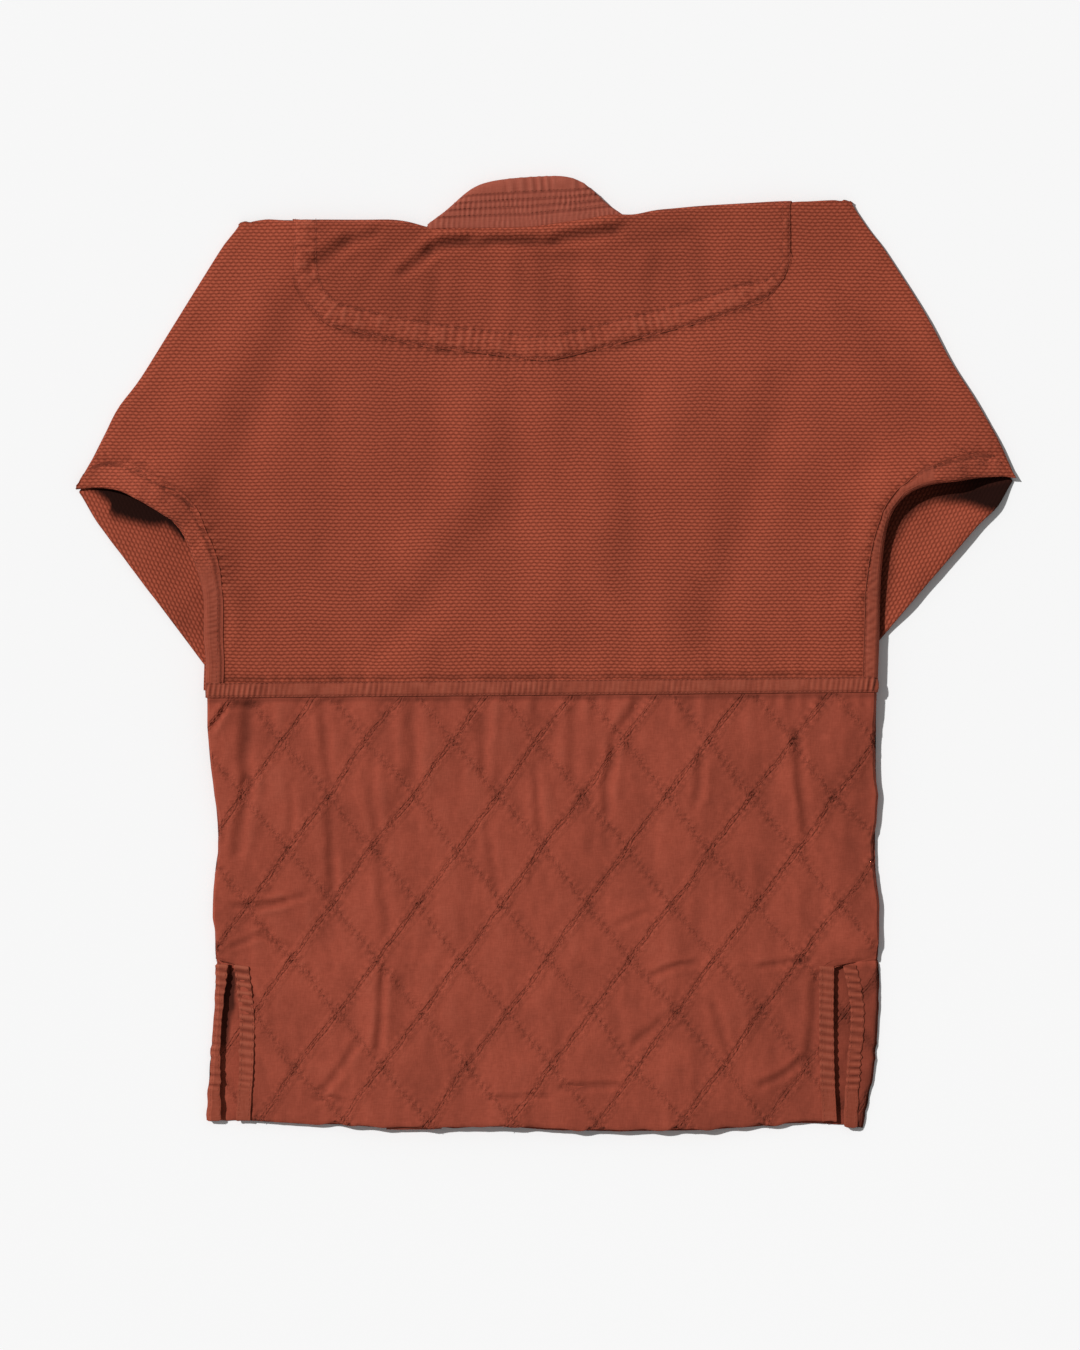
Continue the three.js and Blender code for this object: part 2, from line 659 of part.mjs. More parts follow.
// A lapel band runs from under the neckband to the hem along a front's free edge. Its top is cut
// along the neckband's slanting end.
function lapelBand(name, side) {
  const lapelX = side < 0 ? lapelLeftX : lapelRightX;
  const level = side < 0 ? overSleeves : overLeftFront;
  const top = LAPEL_LEFT[0].y;
  const drops = side < 0 ? LAPEL_DROP.left : LAPEL_DROP.right;
  const rows = Array.from({ length: LAPEL_ROWS + 1 }, (_, row) => {
    const line = [1, 0.5, 0].map((share) => {
      const end = hemY(lapelX(top) + side * LAPEL_RUN * share) + HEM_TURN;
      const drop = lerp(drops.free, drops.seam, share) * Math.max(0, 1 - row / LAPEL_DROP.rows);
      const y = lerp(top, end, row / LAPEL_ROWS) - drop;
      const x = lapelX(y) + side * LAPEL_RUN * share;
      return new THREE.Vector3(x, y, level(x, y));
    });
    return side < 0 ? line : line.reverse();
  });
  return wall(name, rows, movedOut(rows, gridNormals(rows, -1), -BAND_CLOTH), COLOURS.collar);
}

// The neckband stands above the neck seam: a thick band, rounded at its top fold and its ends.
function neckband() {
  const top = new THREE.SplineCurve(COLLAR_TOP.map(({ x, y }) => new THREE.Vector2(x, y)));
  const faces = [1, -1].map((face) => COLLAR_ROWS.map(({ share, fullness }) => (
    Array.from({ length: COLLAR_CELLS + 1 }, (_, cell) => {
      const round = cell / COLLAR_CELLS;
      const seamX = lerp(NECK.leftX, NECK.rightX, round);
      const seam = new THREE.Vector2(seamX, shoulderY(seamX) + SEAM_GAP);
      const place = seam.lerp(top.getPointAt(round), share);
      const end = COLLAR_ENDS[Math.min(cell, COLLAR_CELLS - cell)] ?? 1;
      const half = (COLLAR_CLOTH / 2) * fullness * end;
      return new THREE.Vector3(place.x, place.y, COLLAR_BOTTOM + COLLAR_CLOTH / 2 + face * half);
    })
  )));
  return wall('neckband', faces[0].reverse(), faces[1].reverse(), COLOURS.collar);
}

// A sleeve lies folded under the body as a flattened tube, open at its cuff and at the fold.
function sleeve({ name }, corners) {
  const [shoulder, tip, cuffUnder, cuffTop] = corners;
  const loop = (inset, halfHeight) => {
    const shares = Array.from({ length: SLEEVE_CELLS + 1 }, (_, cell) => cell / SLEEVE_CELLS);
    const upper = shares.map((share) => ({ share, inset, z: SLEEVE_HEIGHT / 2 + halfHeight }));
    const lower = shares.map((share) => ({ share, inset, z: SLEEVE_HEIGHT / 2 - halfHeight })).reverse();
    const rounds = [1, 0].map((share) => ({ share, inset: inset - halfHeight, z: SLEEVE_HEIGHT / 2 }));
    return [...upper, rounds[0], ...lower, rounds[1]];
  };
  const station = (points, share) => {
    const start = shoulder.clone().lerp(cuffTop, share);
    const end = tip.clone().lerp(cuffUnder, share);
    const width = start.distanceTo(end);
    return points.map((point) => {
      const across = THREE.MathUtils.clamp(point.share * width, point.inset, width - point.inset) / width;
      const place = start.clone().lerp(end, across);
      return new THREE.Vector3(place.x, place.y, point.z);
    });
  };
  const shares = Array.from({ length: SLEEVE_STATIONS + 1 }, (_, k) => k / SLEEVE_STATIONS);
  const outerLoop = loop(SLEEVE_HEIGHT / 2, SLEEVE_HEIGHT / 2);
  const innerLoop = loop(SLEEVE_HEIGHT / 2, SLEEVE_HOLLOW / 2);
  const outer = shares.map((share) => station(outerLoop, share));
  const inner = shares.map((share) => station(innerLoop, share));
  return wall(name, outer, inner, COLOURS.body, { ring: true });
}

// The skirt.

const sideAt = (y, column) => along(SKIRT_SIDES, 'y', y, column);

const skirtLines = [
  { yAt: (x) => waistY(x) - WAIST.seamHalf, open: false },
  { yAt: (x) => waistY(x) - WAIST.tapeHalf, open: false },
  ...SKIRT_ROWS.map(({ y, open = false }) => ({ yAt: () => y, open })),
  { yAt: hemY, open: true },
];
const VENT_LINE = skirtLines.findIndex(({ open }) => open);
const HEM_LINE = skirtLines.length - 1;

// The edge of the back skirt on one side: the side fold, or the vent's edge where it is open.
function skirtEdge(side, line) {
  const outwards = new THREE.Vector2(side, 0);
  const y = line.yAt(side * WAIST.rightX);
  if (line.open) {
    const place = new THREE.Vector2(sideAt(y, side < 0 ? 'backLeft' : 'backRight'), y);
    return { place, outwards, top: VENT_EDGE_TOP, radius: 0, reach: REACH.vent };
  }
  const place = new THREE.Vector2(sideAt(y, side < 0 ? 'left' : 'right'), y);
  const under = overSleeves(place.x, place.y);
  const top = under + 2 * EDGE_RADIUS;
  return { place, outwards, top, under, radius: EDGE_RADIUS, turn: EDGE_TURN, reach: REACH.edge };
}

// The waist seam joins thicker cloth, so the skirt's outer face eases down from there.
function skirtStack(x, y) {
  const below = THREE.MathUtils.smoothstep(waistY(x) - y, 0, REACH.waist);
  return overBothFronts(x, y) + BACK_GAP + lerp(BODY_CLOTH, SKIRT_CLOTH, below);
}

function skirtTop(edges, x, y) {
  return edges.reduce((level, edge) => {
    const start = edgeStart(edge);
    const near = fade(Math.abs(x - start.x), edge.reach);
    return level + (edge.top - skirtStack(start.x, start.y)) * near;
  }, skirtStack(x, y));
}

// The padding between the sewn lines, which slant both ways across the columns.
function quiltPuff(edges, x, y) {
  const across = (x - quiltX(QUILT.crossing, y)) / QUILT.halfWidth;
  const down = (QUILT.startY - y) / QUILT.halfHeight;
  const sewn = Math.abs(Math.sin((Math.PI * (across + down)) / 2) * Math.sin((Math.PI * (across - down)) / 2));
  const inside = [x - edges[0].place.x, edges[1].place.x - x, waistY(x) - WAIST.tapeHalf - y, y - hemY(x)];
  return QUILT.puff * Math.sqrt(sewn) * THREE.MathUtils.smoothstep(Math.min(...inside), 0, QUILT.border);
}

// A row's points on one side of the quilting's columns, from the edge inwards.
function skirtWing(edge, side, line, cells, innerX, raised) {
  if (line.open) {
    const count = cells + turnShares.length;
    const places = Array.from({ length: count }, (_, k) => edge.place.x - (side * VENT_TAPE * k) / (count - 1));
    return places.map(raised);
  }
  const start = edgeStart(edge).x;
  const places = Array.from({ length: cells }, (_, k) => lerp(start, innerX, (k + 1) / (cells + 1)));
  return [...turnShares.map((share) => turned(edge, share)), ...places.map(raised)];
}

function skirtRow(line) {
  const edges = [skirtEdge(-1, line), skirtEdge(1, line)];
  const raised = (x) => new THREE.Vector3(x, line.yAt(x), skirtTop(edges, x, line.yAt(x)));
  const columns = Array.from({ length: QUILT_COLUMNS }, (_, column) => quiltX(column, line.yAt(0)));
  return [
    ...skirtWing(edges[0], -1, line, SKIRT_WINGS.left, columns[0], raised),
    ...columns.map(raised),
    ...skirtWing(edges[1], 1, line, SKIRT_WINGS.right, columns[columns.length - 1], raised).reverse(),
  ];
}

const skirtBase = skirtLines.map(skirtRow);
const skirtNormals = gridNormals(skirtBase);
const skirtOuter = skirtBase.map((row, k) => {
  const edges = [skirtEdge(-1, skirtLines[k]), skirtEdge(1, skirtLines[k])];
  return row.map((point, column) => (
    point.clone().addScaledVector(skirtNormals[k][column], quiltPuff(edges, point.x, point.y))
  ));
});

// The grid's cells are halved along the sewn lines that cross them.
function alongSewing(row, column) {
  const firstColumn = TURN_STEPS + 1 + SKIRT_WINGS.left;
  const firstRow = skirtLines.findIndex((line) => line.yAt(0) === QUILT.startY);
  const step = column - firstColumn - QUILT.crossing + (row - firstRow);
  const quilted = column >= firstColumn && column < firstColumn + QUILT_COLUMNS - 1;
  return quilted && Math.abs(step) % 2 === 1;
}

function skirtBack() {
  const inner = movedOut(skirtBase, skirtNormals, -SKIRT_CLOTH);
  return wall('skirt_back', skirtOuter, inner, COLOURS.skirt, { slant: alongSewing });
}

// The turn of a front skirt at the side: a quarter turn up to the back, or right over at a vent.
function skirtFrontTurn(side, line) {
  const edge = skirtEdge(side, { ...line, open: false });
  if (!line.open) {
    return FLAP_TURNS.map((_, k) => turned(edge, 1 - k / (FLAP_TURNS.length - 1), true));
  }
  const end = sideAt(edge.place.y, side < 0 ? 'frontLeft' : 'frontRight');
  const start = edge.place.x - side * FLAP_RADIUS;
  return FLAP_TURNS.map(({ flap, turn }) => {
    const angle = radians(turn);
    const border = end + (start - end) * Math.min(1, (VENT_TAPE - 1) / Math.abs(start - end)) * FLAP_TAPE_SHARE;
    const turnX = start + side * FLAP_RADIUS * Math.sin(angle);
    const x = { end, border }[flap] ?? turnX;
    return new THREE.Vector3(x, edge.place.y, FLAP_RADIUS * (1 - Math.cos(angle)));
  });
}

function skirtFrontRow(side, line) {
  const lapelX = side < 0 ? lapelLeftX : lapelRightX;
  const level = side < 0 ? overSleeves : overLeftFront;
  const turn = skirtFrontTurn(side, line);
  const startX = turn[turn.length - 1].x;
  const seamY = line.yAt(0);
  const seamX = lapelX(seamY) + side * (LAPEL_RUN + LAPEL_SEAM);
  const middle = Array.from({ length: SKIRT_FRONT_CELLS }, (_, cell) => {
    const x = lerp(startX, seamX, (cell + 1) / SKIRT_FRONT_CELLS);
    return new THREE.Vector3(x, line.yAt(x), level(x, line.yAt(x)));
  });
  const points = [...turn, ...middle];
  return side < 0 ? points : points.reverse();
}

const frontLines = skirtLines.filter((_, k) => k % 2 === 0 || k === VENT_LINE - 1);

function skirtFront(name, side) {
  const outer = frontLines.map((line) => skirtFrontRow(side, line));
  const normals = gridNormals(outer, -1);
  const panel = wall(name, outer, movedOut(outer, normals, -SKIRT_CLOTH), COLOURS.skirt);
  const first = frontLines.findIndex(({ open }) => open);
  const last = outer[0].length - 1;
  const reach = side < 0 ? FLAP_TURNS.length - 3 : 1;
  const columns = side < 0 ? [0, reach] : [last - reach, last];
  const range = [first, frontLines.length - 1, ...columns];
  const tapeName = name.replace('skirt_front', 'vent_tape_front');
  return [panel, overlay(tapeName, part(outer, ...range), part(normals, ...range), TAPE_CLOTH, COLOURS.tape)];
}

function ventTapeBack(name, columnFrom, columnTo) {
  const range = [VENT_LINE, HEM_LINE, columnFrom, columnTo];
  return overlay(name, part(skirtOuter, ...range), part(skirtNormals, ...range), TAPE_CLOTH, COLOURS.tape);
}

// The waist tape covers the seam between the body's last rows and the skirt's first.
function waistTape() {
  const seam = bodyRows[BODY_ROWS];
  const above = bodyRows[BODY_ROWS - 1].map((point, k) => point.clone().lerp(seam[k], TAPE_START));
  const line = skirtLines[1];
  const edges = [skirtEdge(-1, line), skirtEdge(1, line)];
  const below = seam.map((point, column) => {
    const fromEnd = Math.min(column, seam.length - 1 - column);
    if (fromEnd <= TURN_STEPS) {
      return turned(edges[column < seam.length / 2 ? 0 : 1], turnShares[fromEnd]);
    }
    const y = line.yAt(point.x);
    return new THREE.Vector3(point.x, y, skirtTop(edges, point.x, y));
  });
  const grid = [above, seam, below];
  return overlay('waist_tape', grid, gridNormals(grid), TAPE_CLOTH, COLOURS.tape);
}

const jacket = new THREE.Group();
jacket.add(
  ...SLEEVES.map((entry, k) => sleeve(entry, sleeveOutlines[k])),
  front('front_left', -1),
  front('front_right', 1),
  lapelBand('lapel_left', -1),
  lapelBand('lapel_right', 1),
  upperBack(),
  shoulderPatch(),
  neckband(),
  sideTape('side_tape_left', 0, TURN_STEPS + 1),
  sideTape('side_tape_right', BACK_COLUMNS - 2 - TURN_STEPS, BACK_COLUMNS - 1),
  waistTape(),
  ...skirtFront('skirt_front_left', -1),
  ...skirtFront('skirt_front_right', 1),
  skirtBack(),
  ventTapeBack('vent_tape_back_left', 0, TURN_STEPS + SKIRT_WINGS.left),
  ventTapeBack(
    'vent_tape_back_right',
    skirtOuter[0].length - 1 - TURN_STEPS - SKIRT_WINGS.right,
    skirtOuter[0].length - 1,
  ),
);

export default jacket;
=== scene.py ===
import math

import bmesh
import bpy
import numpy as np
from mathutils import Matrix, Vector
from mathutils.bvhtree import BVHTree


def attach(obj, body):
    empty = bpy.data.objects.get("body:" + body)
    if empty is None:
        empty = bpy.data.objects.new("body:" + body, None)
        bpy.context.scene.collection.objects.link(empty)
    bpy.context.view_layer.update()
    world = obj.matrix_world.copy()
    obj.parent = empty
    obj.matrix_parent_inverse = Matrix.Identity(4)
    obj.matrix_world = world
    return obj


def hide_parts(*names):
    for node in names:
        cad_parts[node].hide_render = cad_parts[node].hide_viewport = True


# A judo jacket laid out flat on its front. Sizes here are millimetres unless a note says metres:
# x to the wearer's right, y towards the neckband, z up from the floor.

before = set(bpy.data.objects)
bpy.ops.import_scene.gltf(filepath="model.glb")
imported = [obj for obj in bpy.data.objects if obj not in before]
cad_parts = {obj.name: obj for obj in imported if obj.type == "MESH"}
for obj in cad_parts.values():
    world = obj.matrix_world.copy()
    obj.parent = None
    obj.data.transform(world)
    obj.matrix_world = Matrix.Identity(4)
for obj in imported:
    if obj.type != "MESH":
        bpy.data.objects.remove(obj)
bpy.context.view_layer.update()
metre = 0.001
print("frame loaded:", len(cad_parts), "nodes")

studio = {
    "cameraAt": (-5.06, -20.24),     # what the middle of the picture looks down on
    "cameraHeight": 6.0,             # metres
    "pictureHeight": 1242.0,         # floor covered by the picture's tall side
    "floorSize": 60.0,               # metres
    "keyTurn": (0.0, -42.0, -32.0),  # degrees
    "keyStrength": 3.34,
    "keySpread": 2.0,                # degrees, softens the shadows' edges
    "skyStrength": 0.24,
}


def meshOf(bm, name):
    mesh = bpy.data.meshes.new(name)
    bm.to_mesh(mesh)
    bm.free()
    return mesh


def treeOf(mesh):
    # for casting rays at it
    bm = bmesh.new()
    bm.from_mesh(mesh)
    tree = BVHTree.FromBMesh(bm)
    bm.free()
    return tree


def placed(name, data):
    piece = bpy.data.objects.new(name, data)
    bpy.context.scene.collection.objects.link(piece)
    return piece


def makeStudio(s):
    scene = bpy.context.scene
    scene.view_settings.view_transform = "Standard"
    scene.view_settings.look = "None"
    data = bpy.data.cameras.new("studioCamera")
    data.sensor_width = 36.0
    data.lens = data.sensor_width * s["cameraHeight"] / (s["pictureHeight"] * metre)
    data.clip_end = 100.0
    scene.camera = placed("studioCamera", data)
    scene.camera.location = (s["cameraAt"][0] * metre, s["cameraAt"][1] * metre, s["cameraHeight"])

    sun = bpy.data.lights.new("keyLight", "SUN")
    sun.energy = s["keyStrength"]
    sun.angle = math.radians(s["keySpread"])
    placed("keyLight", sun).rotation_euler = [math.radians(a) for a in s["keyTurn"]]

    world = bpy.data.worlds.new("studioSky")
    scene.world = world
    world.use_nodes = True
    sky = world.node_tree.nodes["Background"].inputs
    sky["Color"].default_value = (1.0, 1.0, 1.0, 1.0)
    sky["Strength"].default_value = s["skyStrength"]

    bm = bmesh.new()
    bmesh.ops.create_grid(bm, x_segments=1, y_segments=1, size=s["floorSize"] / 2)
    floor = placed("studioFloor", meshOf(bm, "studioFloor"))
    return floor


def linear(hexColour):
    parts = [int(hexColour[i:i + 2], 16) / 255 for i in (1, 3, 5)]
    return [p / 12.92 if p <= 0.04045 else ((p + 0.055) / 1.055) ** 2.4 for p in parts] + [1.0]


def add(tree, kind, settings=None, links=None):
    # one node: settings go to its attributes or sockets, links to its sockets
    node = tree.nodes.new("ShaderNode" + kind)
    for key, value in (settings or {}).items():
        if isinstance(key, str) and hasattr(node, key):
            setattr(node, key, value)
        else:
            node.inputs[key].default_value = value
    for socket, source in (links or {}).items():
        tree.links.new(source, node.inputs[socket])
    return node


def maths(tree, operation, *values):
    # each value is a number or a socket
    numbers = {k: v for k, v in enumerate(values) if isinstance(v, float)}
    sockets = {k: v for k, v in enumerate(values) if not isinstance(v, float)}
    return add(tree, "Math", {"operation": operation, **numbers}, sockets).outputs["Value"]


def times(tree, one, other):
    return maths(tree, "MULTIPLY", one, other)


def vectors(tree, operation, settings, links):
    node = add(tree, "VectorMath", {"operation": operation, **settings}, links)
    return node.outputs["Vector"]


def noise(tree, place, scale, detail, roughness=0.5, output="Fac"):
    settings = {"Scale": scale, "Detail": detail, "Roughness": roughness}
    return add(tree, "TexNoise", settings, {"Vector": place}).outputs[output]


def ramp(tree, value, fromMin, fromMax, toMin=0.0, toMax=1.0):
    limits = {"From Min": fromMin, "From Max": fromMax, "To Min": toMin, "To Max": toMax}
    return add(tree, "MapRange", limits, {"Value": value}).outputs["Result"]


def blend(tree, share, one, two):
    # from colour one to colour two, each a hex code or a socket
    codes = {k: linear(v) for k, v in [("A", one), ("B", two)] if isinstance(v, str)}
    sockets = {k: v for k, v in [("A", one), ("B", two)] if not isinstance(v, str)}
    return add(tree, "Mix", {"data_type": "RGBA", **codes},
               {"Factor": share, **sockets}).outputs["Result"]


def bumped(tree, strength, depth, height, normal=None):
    # depth in millimetres; a negative one makes hollows of the heights
    settings = {"Strength": strength, "Distance": abs(depth) * metre, "invert": depth < 0}
    links = {"Height": height} if normal is None else {"Height": height, "Normal": normal}
    return add(tree, "Bump", settings, links).outputs["Normal"]


def kept(tree, name):
    # what keepValues has kept on the cloth
    return add(tree, "Attribute", {"attribute_name": name}).outputs["Fac"]


def spread(tree, place, scale):
    # the place let out or drawn together along each axis
    return add(tree, "Mapping", {"Scale": scale}, {"Vector": place}).outputs["Vector"]


def startMaterial(name, roughness, sheen):
    material = bpy.data.materials.new(name)
    material.use_nodes = True
    shader = material.node_tree.nodes["Principled BSDF"]
    shares = {"Roughness": roughness, "IOR": 1.5, "Specular IOR Level": 0.12, "Sheen Weight": sheen,
              "Sheen Roughness": 0.6, "Sheen Tint": linear("#d09a86")}
    for key, value in shares.items():
        shader.inputs[key].default_value = value
    return material, material.node_tree


def giveLook(material, colour, normal=None):
    tree = material.node_tree
    inputs = tree.nodes["Principled BSDF"].inputs
    tree.links.new(colour, inputs["Base Color"])
    if normal is not None:
        tree.links.new(normal, inputs["Normal"])
    return material


def lookOf(material):
    # what a material's colour and normal come from
    inputs = material.node_tree.nodes["Principled BSDF"].inputs
    return inputs["Base Color"].links[0].from_socket, inputs["Normal"].links[0].from_socket


def clothPlace(tree, wobble=3.0):
    # the cloth's own flat coordinates in millimetres, drawn a little out of true as in washed cloth
    uv = add(tree, "UVMap", {"uv_map": "flatPattern"}).outputs["UV"]
    place = spread(tree, uv, (1000.0, 1000.0, 1000.0))
    drift = noise(tree, place, 0.03, 2.0, output="Color")
    centred = vectors(tree, "SUBTRACT", {1: (0.5, 0.5, 0.5)}, {0: drift})
    return vectors(tree, "ADD", {}, {0: place, 1: vectors(tree, "SCALE", {"Scale": wobble}, {0: centred})})


def wornAndShadedColour(tree, place, clean, look):
    # garment dye: soft mottling, and paler where the cloth stands proud; darker in creases, hollows and
    # beside edges, which is painted shade
    mottle = noise(tree, place, 1.0 / look["mottleSize"], 4.0, 0.6)
    share = ramp(tree, mottle, 0.3, 0.7, 1.0 - look["mottle"], 1.0 + look["mottle"])
    lit = vectors(tree, "SCALE", {}, {0: clean, "Scale": share})
    # below zero this attribute is painted shade, above zero worn, paler dye
    wearAndShade = kept(tree, "wearAndShade")
    faded = blend(tree, ramp(tree, wearAndShade, 0.0, 1.0, 0.0, look["fade"]), lit, look["faded"])
    return blend(tree, ramp(tree, wearAndShade, 0.0, -1.0, 0.0, look["shade"]), faded, look["dark"])


# faded is the worn colour of raised cloth; dark is the colour of the painted shade in hollows, creases and
# beside edges, and shade is how far towards it the colour goes
riceLook = {
    "grainApart": 5.26, "rowApart": 3.1, "grainShare": 0.85, "rowShare": 0.72, "columnShare": 0.12,
    "fibre": 1.6, "grainDepth": 0.32, "grain": "#a44f39", "hollow": "#68291a",
    "faded": "#aa5c46", "dark": "#1c0602", "fade": 0.45, "shade": 1.04,
    "mottleSize": 60.0, "mottle": 0.06,
}


def wave(tree, value, period):
    return maths(tree, "COSINE", times(tree, value, 2 * math.pi / period))


def riceGrains(tree, place, look):
    # rows of short raised floats, each row half a grain on, as a colour and a height from 0 to 1
    axes = add(tree, "SeparateXYZ", {}, {"Vector": place}).outputs
    dots = times(tree, wave(tree, axes["X"], look["grainApart"]), wave(tree, axes["Y"], 2 * look["rowApart"]))
    columns = times(tree, wave(tree, axes["X"], look["grainApart"] / 2), look["columnShare"])
    grains = maths(tree, "MULTIPLY_ADD", dots, look["grainShare"], columns)
    rows = maths(tree, "MULTIPLY_ADD", wave(tree, axes["Y"], look["rowApart"]), look["rowShare"], grains)
    uneven = maths(tree, "MULTIPLY_ADD", noise(tree, place, 0.7, 3.0), look["fibre"], rows)
    height = ramp(tree, uneven, -0.25, 1.5)
    return blend(tree, height, look["hollow"], look["grain"]), height


def riceWeave(name, look):
    # cotton rice-grain weave: short raised floats in rows with hollows between, which the eye sees as
    # rows of pale dots on a darker ground
    material, tree = startMaterial(name, 0.92, 0.05)
    place = clothPlace(tree)
    colour, height = riceGrains(tree, place, look)
    return giveLook(material, wornAndShadedColour(tree, place, colour, look),
                    bumped(tree, 0.9, look["grainDepth"], height))


# in these looks dark is the colour of painted shade; on the skirt it also colours the quilting's dark strands
skirtLook = {
    "thread": 1.3, "slub": 0.16, "cloth": "#974735", "clothTwo": "#8b3f2e",
    "faded": "#b0624d", "dark": "#240d07", "fade": 0.5, "shade": 0.85,
    "mottleSize": 45.0, "mottle": 0.08, "depth": 0.22,
}
bandLook = {
    "thread": 1.1, "slub": 0.10, "cloth": "#99503f", "clothTwo": "#8c4535",
    "faded": "#b46e5a", "dark": "#511f17", "fade": 0.5, "shade": 0.8,
    "mottleSize": 25.0, "mottle": 0.06, "depth": 0.2,
}
tapeLook = {
    "thread": 1.2, "slub": 0.12, "cloth": "#914836", "clothTwo": "#853d2b",
    "faded": "#a9604a", "dark": "#45170e", "fade": 0.5, "shade": 0.8,
    "mottleSize": 20.0, "mottle": 0.07, "depth": 0.2,
}


def plainWeave(name, look):
    # washed plain cotton: matt, fine threads both ways with slubs; the threads are drawn coarser than
    # the real 0.5 mm so that they show
    material, tree = startMaterial(name, 0.88, 0.08)
    place = clothPlace(tree)
    fine = 1.0 / look["thread"]
    weft = noise(tree, spread(tree, place, (look["slub"], fine, 1.0)), 1.0, 3.0)
    warp = noise(tree, spread(tree, place, (fine, look["slub"], 1.0)), 1.0, 3.0)
    both = maths(tree, "ADD", weft, warp)
    clean = blend(tree, ramp(tree, both, 0.7, 1.3), look["clothTwo"], look["cloth"])
    return giveLook(material, wornAndShadedColour(tree, place, clean, look), bumped(tree, 0.8, look["depth"], both))


def seamCotton(name, look, grainLook):
    # the felled side seams: plain tape, and towards the folded tips the body's own rice-grain cloth
    material = plainWeave(name, look)
    tree = material.node_tree
    colour, normal = lookOf(material)
    place = clothPlace(tree)
    grains, height = riceGrains(tree, place, grainLook)
    share = kept(tree, "grainy")
    mixed = blend(tree, share, colour, wornAndShadedColour(tree, place, grains, grainLook))
    raised = times(tree, height, share)
    return giveLook(material, mixed, bumped(tree, 0.9, grainLook["grainDepth"], raised, normal))


quilting = {
    "startX": -241.5, "startY": -81.0, "halfWidth": 39.0, "halfHeight": 50.0, "skew": 0.045,
    "strandApart": 1.25,             # half the distance between the two rows of a rising line
    "stray": ((2.0, 42.0), (0.8, 9.0)),   # how far a line wanders, and over what length
    "strandWidth": 0.6, "strandDark": (0.08, 0.05), "speckDark": (0.06, 0.2), "speckReach": (3.4, 4.6),
    "crinkleSize": 2.8, "crinkleReach": 8.0, "strandDepth": 0.45, "crinkleDepth": 1.8,
    "spacing": 5.0, "stitches": (3.4, 3.0),      # from stitch to stitch, and how long they are
}


def quiltSteps(sign):
    # how the sewn lines' number grows along x and y; lines rise (1) or fall (-1) to the right
    alongX = 0.5 / quilting["halfWidth"]
    alongY = 0.5 * (quilting["skew"] / quilting["halfWidth"] - sign / quilting["halfHeight"])
    return alongX, alongY, 1.0 / math.hypot(alongX, alongY)


def sewnLines(tree, attribute, spacing, apart):
    # distances from the nearest sewn line and from its nearest row, from the line numbers on the cloth
    line = times(tree, maths(tree, "PINGPONG", kept(tree, attribute), 0.5), spacing)
    return line, maths(tree, "ABSOLUTE", maths(tree, "SUBTRACT", line, apart))


def quiltedCotton(name, look):
    # the skirt's plain cotton with its sewn lines: a rising one is two thin dark furrows, a falling one
    # a band of dark specks, and both crinkle the cloth beside them
    material = plainWeave(name, look)
    tree = material.node_tree
    colour, normal = lookOf(material)
    place = clothPlace(tree, 0.0)
    crinkle = noise(tree, place, 1.0 / quilting["crinkleSize"], 2.0)
    strength = ramp(tree, noise(tree, place, 0.11, 2.0), 0.35, 0.65, 0.35, 1.3)
    apart = ramp(tree, noise(tree, place, 0.045, 1.0), 0.3, 0.7,
                 0.5 * quilting["strandApart"], 1.7 * quilting["strandApart"])
    specks = ramp(tree, crinkle, 0.5, 0.62)
    for k, (attribute, sign) in enumerate([("risingLine", 1), ("fallingLine", -1)]):
        line, row = sewnLines(tree, attribute, quiltSteps(sign)[2], apart)
        furrow = times(tree, ramp(tree, row, 0.2, quilting["strandWidth"] + 0.4, 1.0, 0.0), strength)
        reach = quilting["speckReach"][k]
        speckled = times(tree, times(tree, specks, ramp(tree, line, 0.4 * reach, reach, 1.0, 0.0)), strength)
        for share, dark in [(furrow, quilting["strandDark"][k]), (speckled, quilting["speckDark"][k])]:
            colour = blend(tree, times(tree, share, dark), colour, look["dark"])
        near = ramp(tree, line, 1.0, quilting["crinkleReach"], 1.0, 0.0)
        for height, depth in [(times(tree, crinkle, near), quilting["crinkleDepth"]),
                              (furrow, -quilting["strandDepth"] * (1 - k))]:
            normal = bumped(tree, 1.0 - 0.3 * k, depth, height, normal)
    return giveLook(material, colour, normal)


def cottonThread(name, colour):
    # spun cotton thread, dyed with the garment, with a slight shine
    material, tree = startMaterial(name, 0.7, 0.05)
    place = add(tree, "TexCoord").outputs["Object"]
    twist = ramp(tree, noise(tree, place, 900.0, 2.0), 0.0, 1.0, 0.8, 1.2)
    return giveLook(material, vectors(tree, "SCALE", {0: linear(colour)[:3]}, {"Scale": twist}))


def floorPaper(name):
    # white paper sweep, matt, all but even
    material, tree = startMaterial(name, 0.95, 0.0)
    place = add(tree, "TexCoord").outputs["Object"]
    return giveLook(material, blend(tree, noise(tree, place, 0.6, 1.0), "#f3f3f3", "#f5f5f5"))


def softNoise(x, y, sizeX, sizeY, seed):
    # smooth random swells from -1 to 1, about sizeX by sizeY across
    table = np.random.default_rng(seed).uniform(-1.0, 1.0, (128, 128))
    gx, gy = x / sizeX + 640.0, y / sizeY + 640.0
    ix, iy = np.floor(gx).astype(int), np.floor(gy).astype(int)
    fx, fy = gx - ix, gy - iy
    fx, fy = fx * fx * (3 - 2 * fx), fy * fy * (3 - 2 * fy)
    near = table[ix % 128, iy % 128] * (1 - fx) + table[(ix + 1) % 128, iy % 128] * fx
    far = table[ix % 128, (iy + 1) % 128] * (1 - fx) + table[(ix + 1) % 128, (iy + 1) % 128] * fx
    return near * (1 - fy) + far * fy


def step(value, low, high):
    t = np.clip((value - low) / (high - low), 0.0, 1.0)
    return t * t * (3 - 2 * t)


def hump(value, width):
    return np.exp(-(value / width) ** 2)


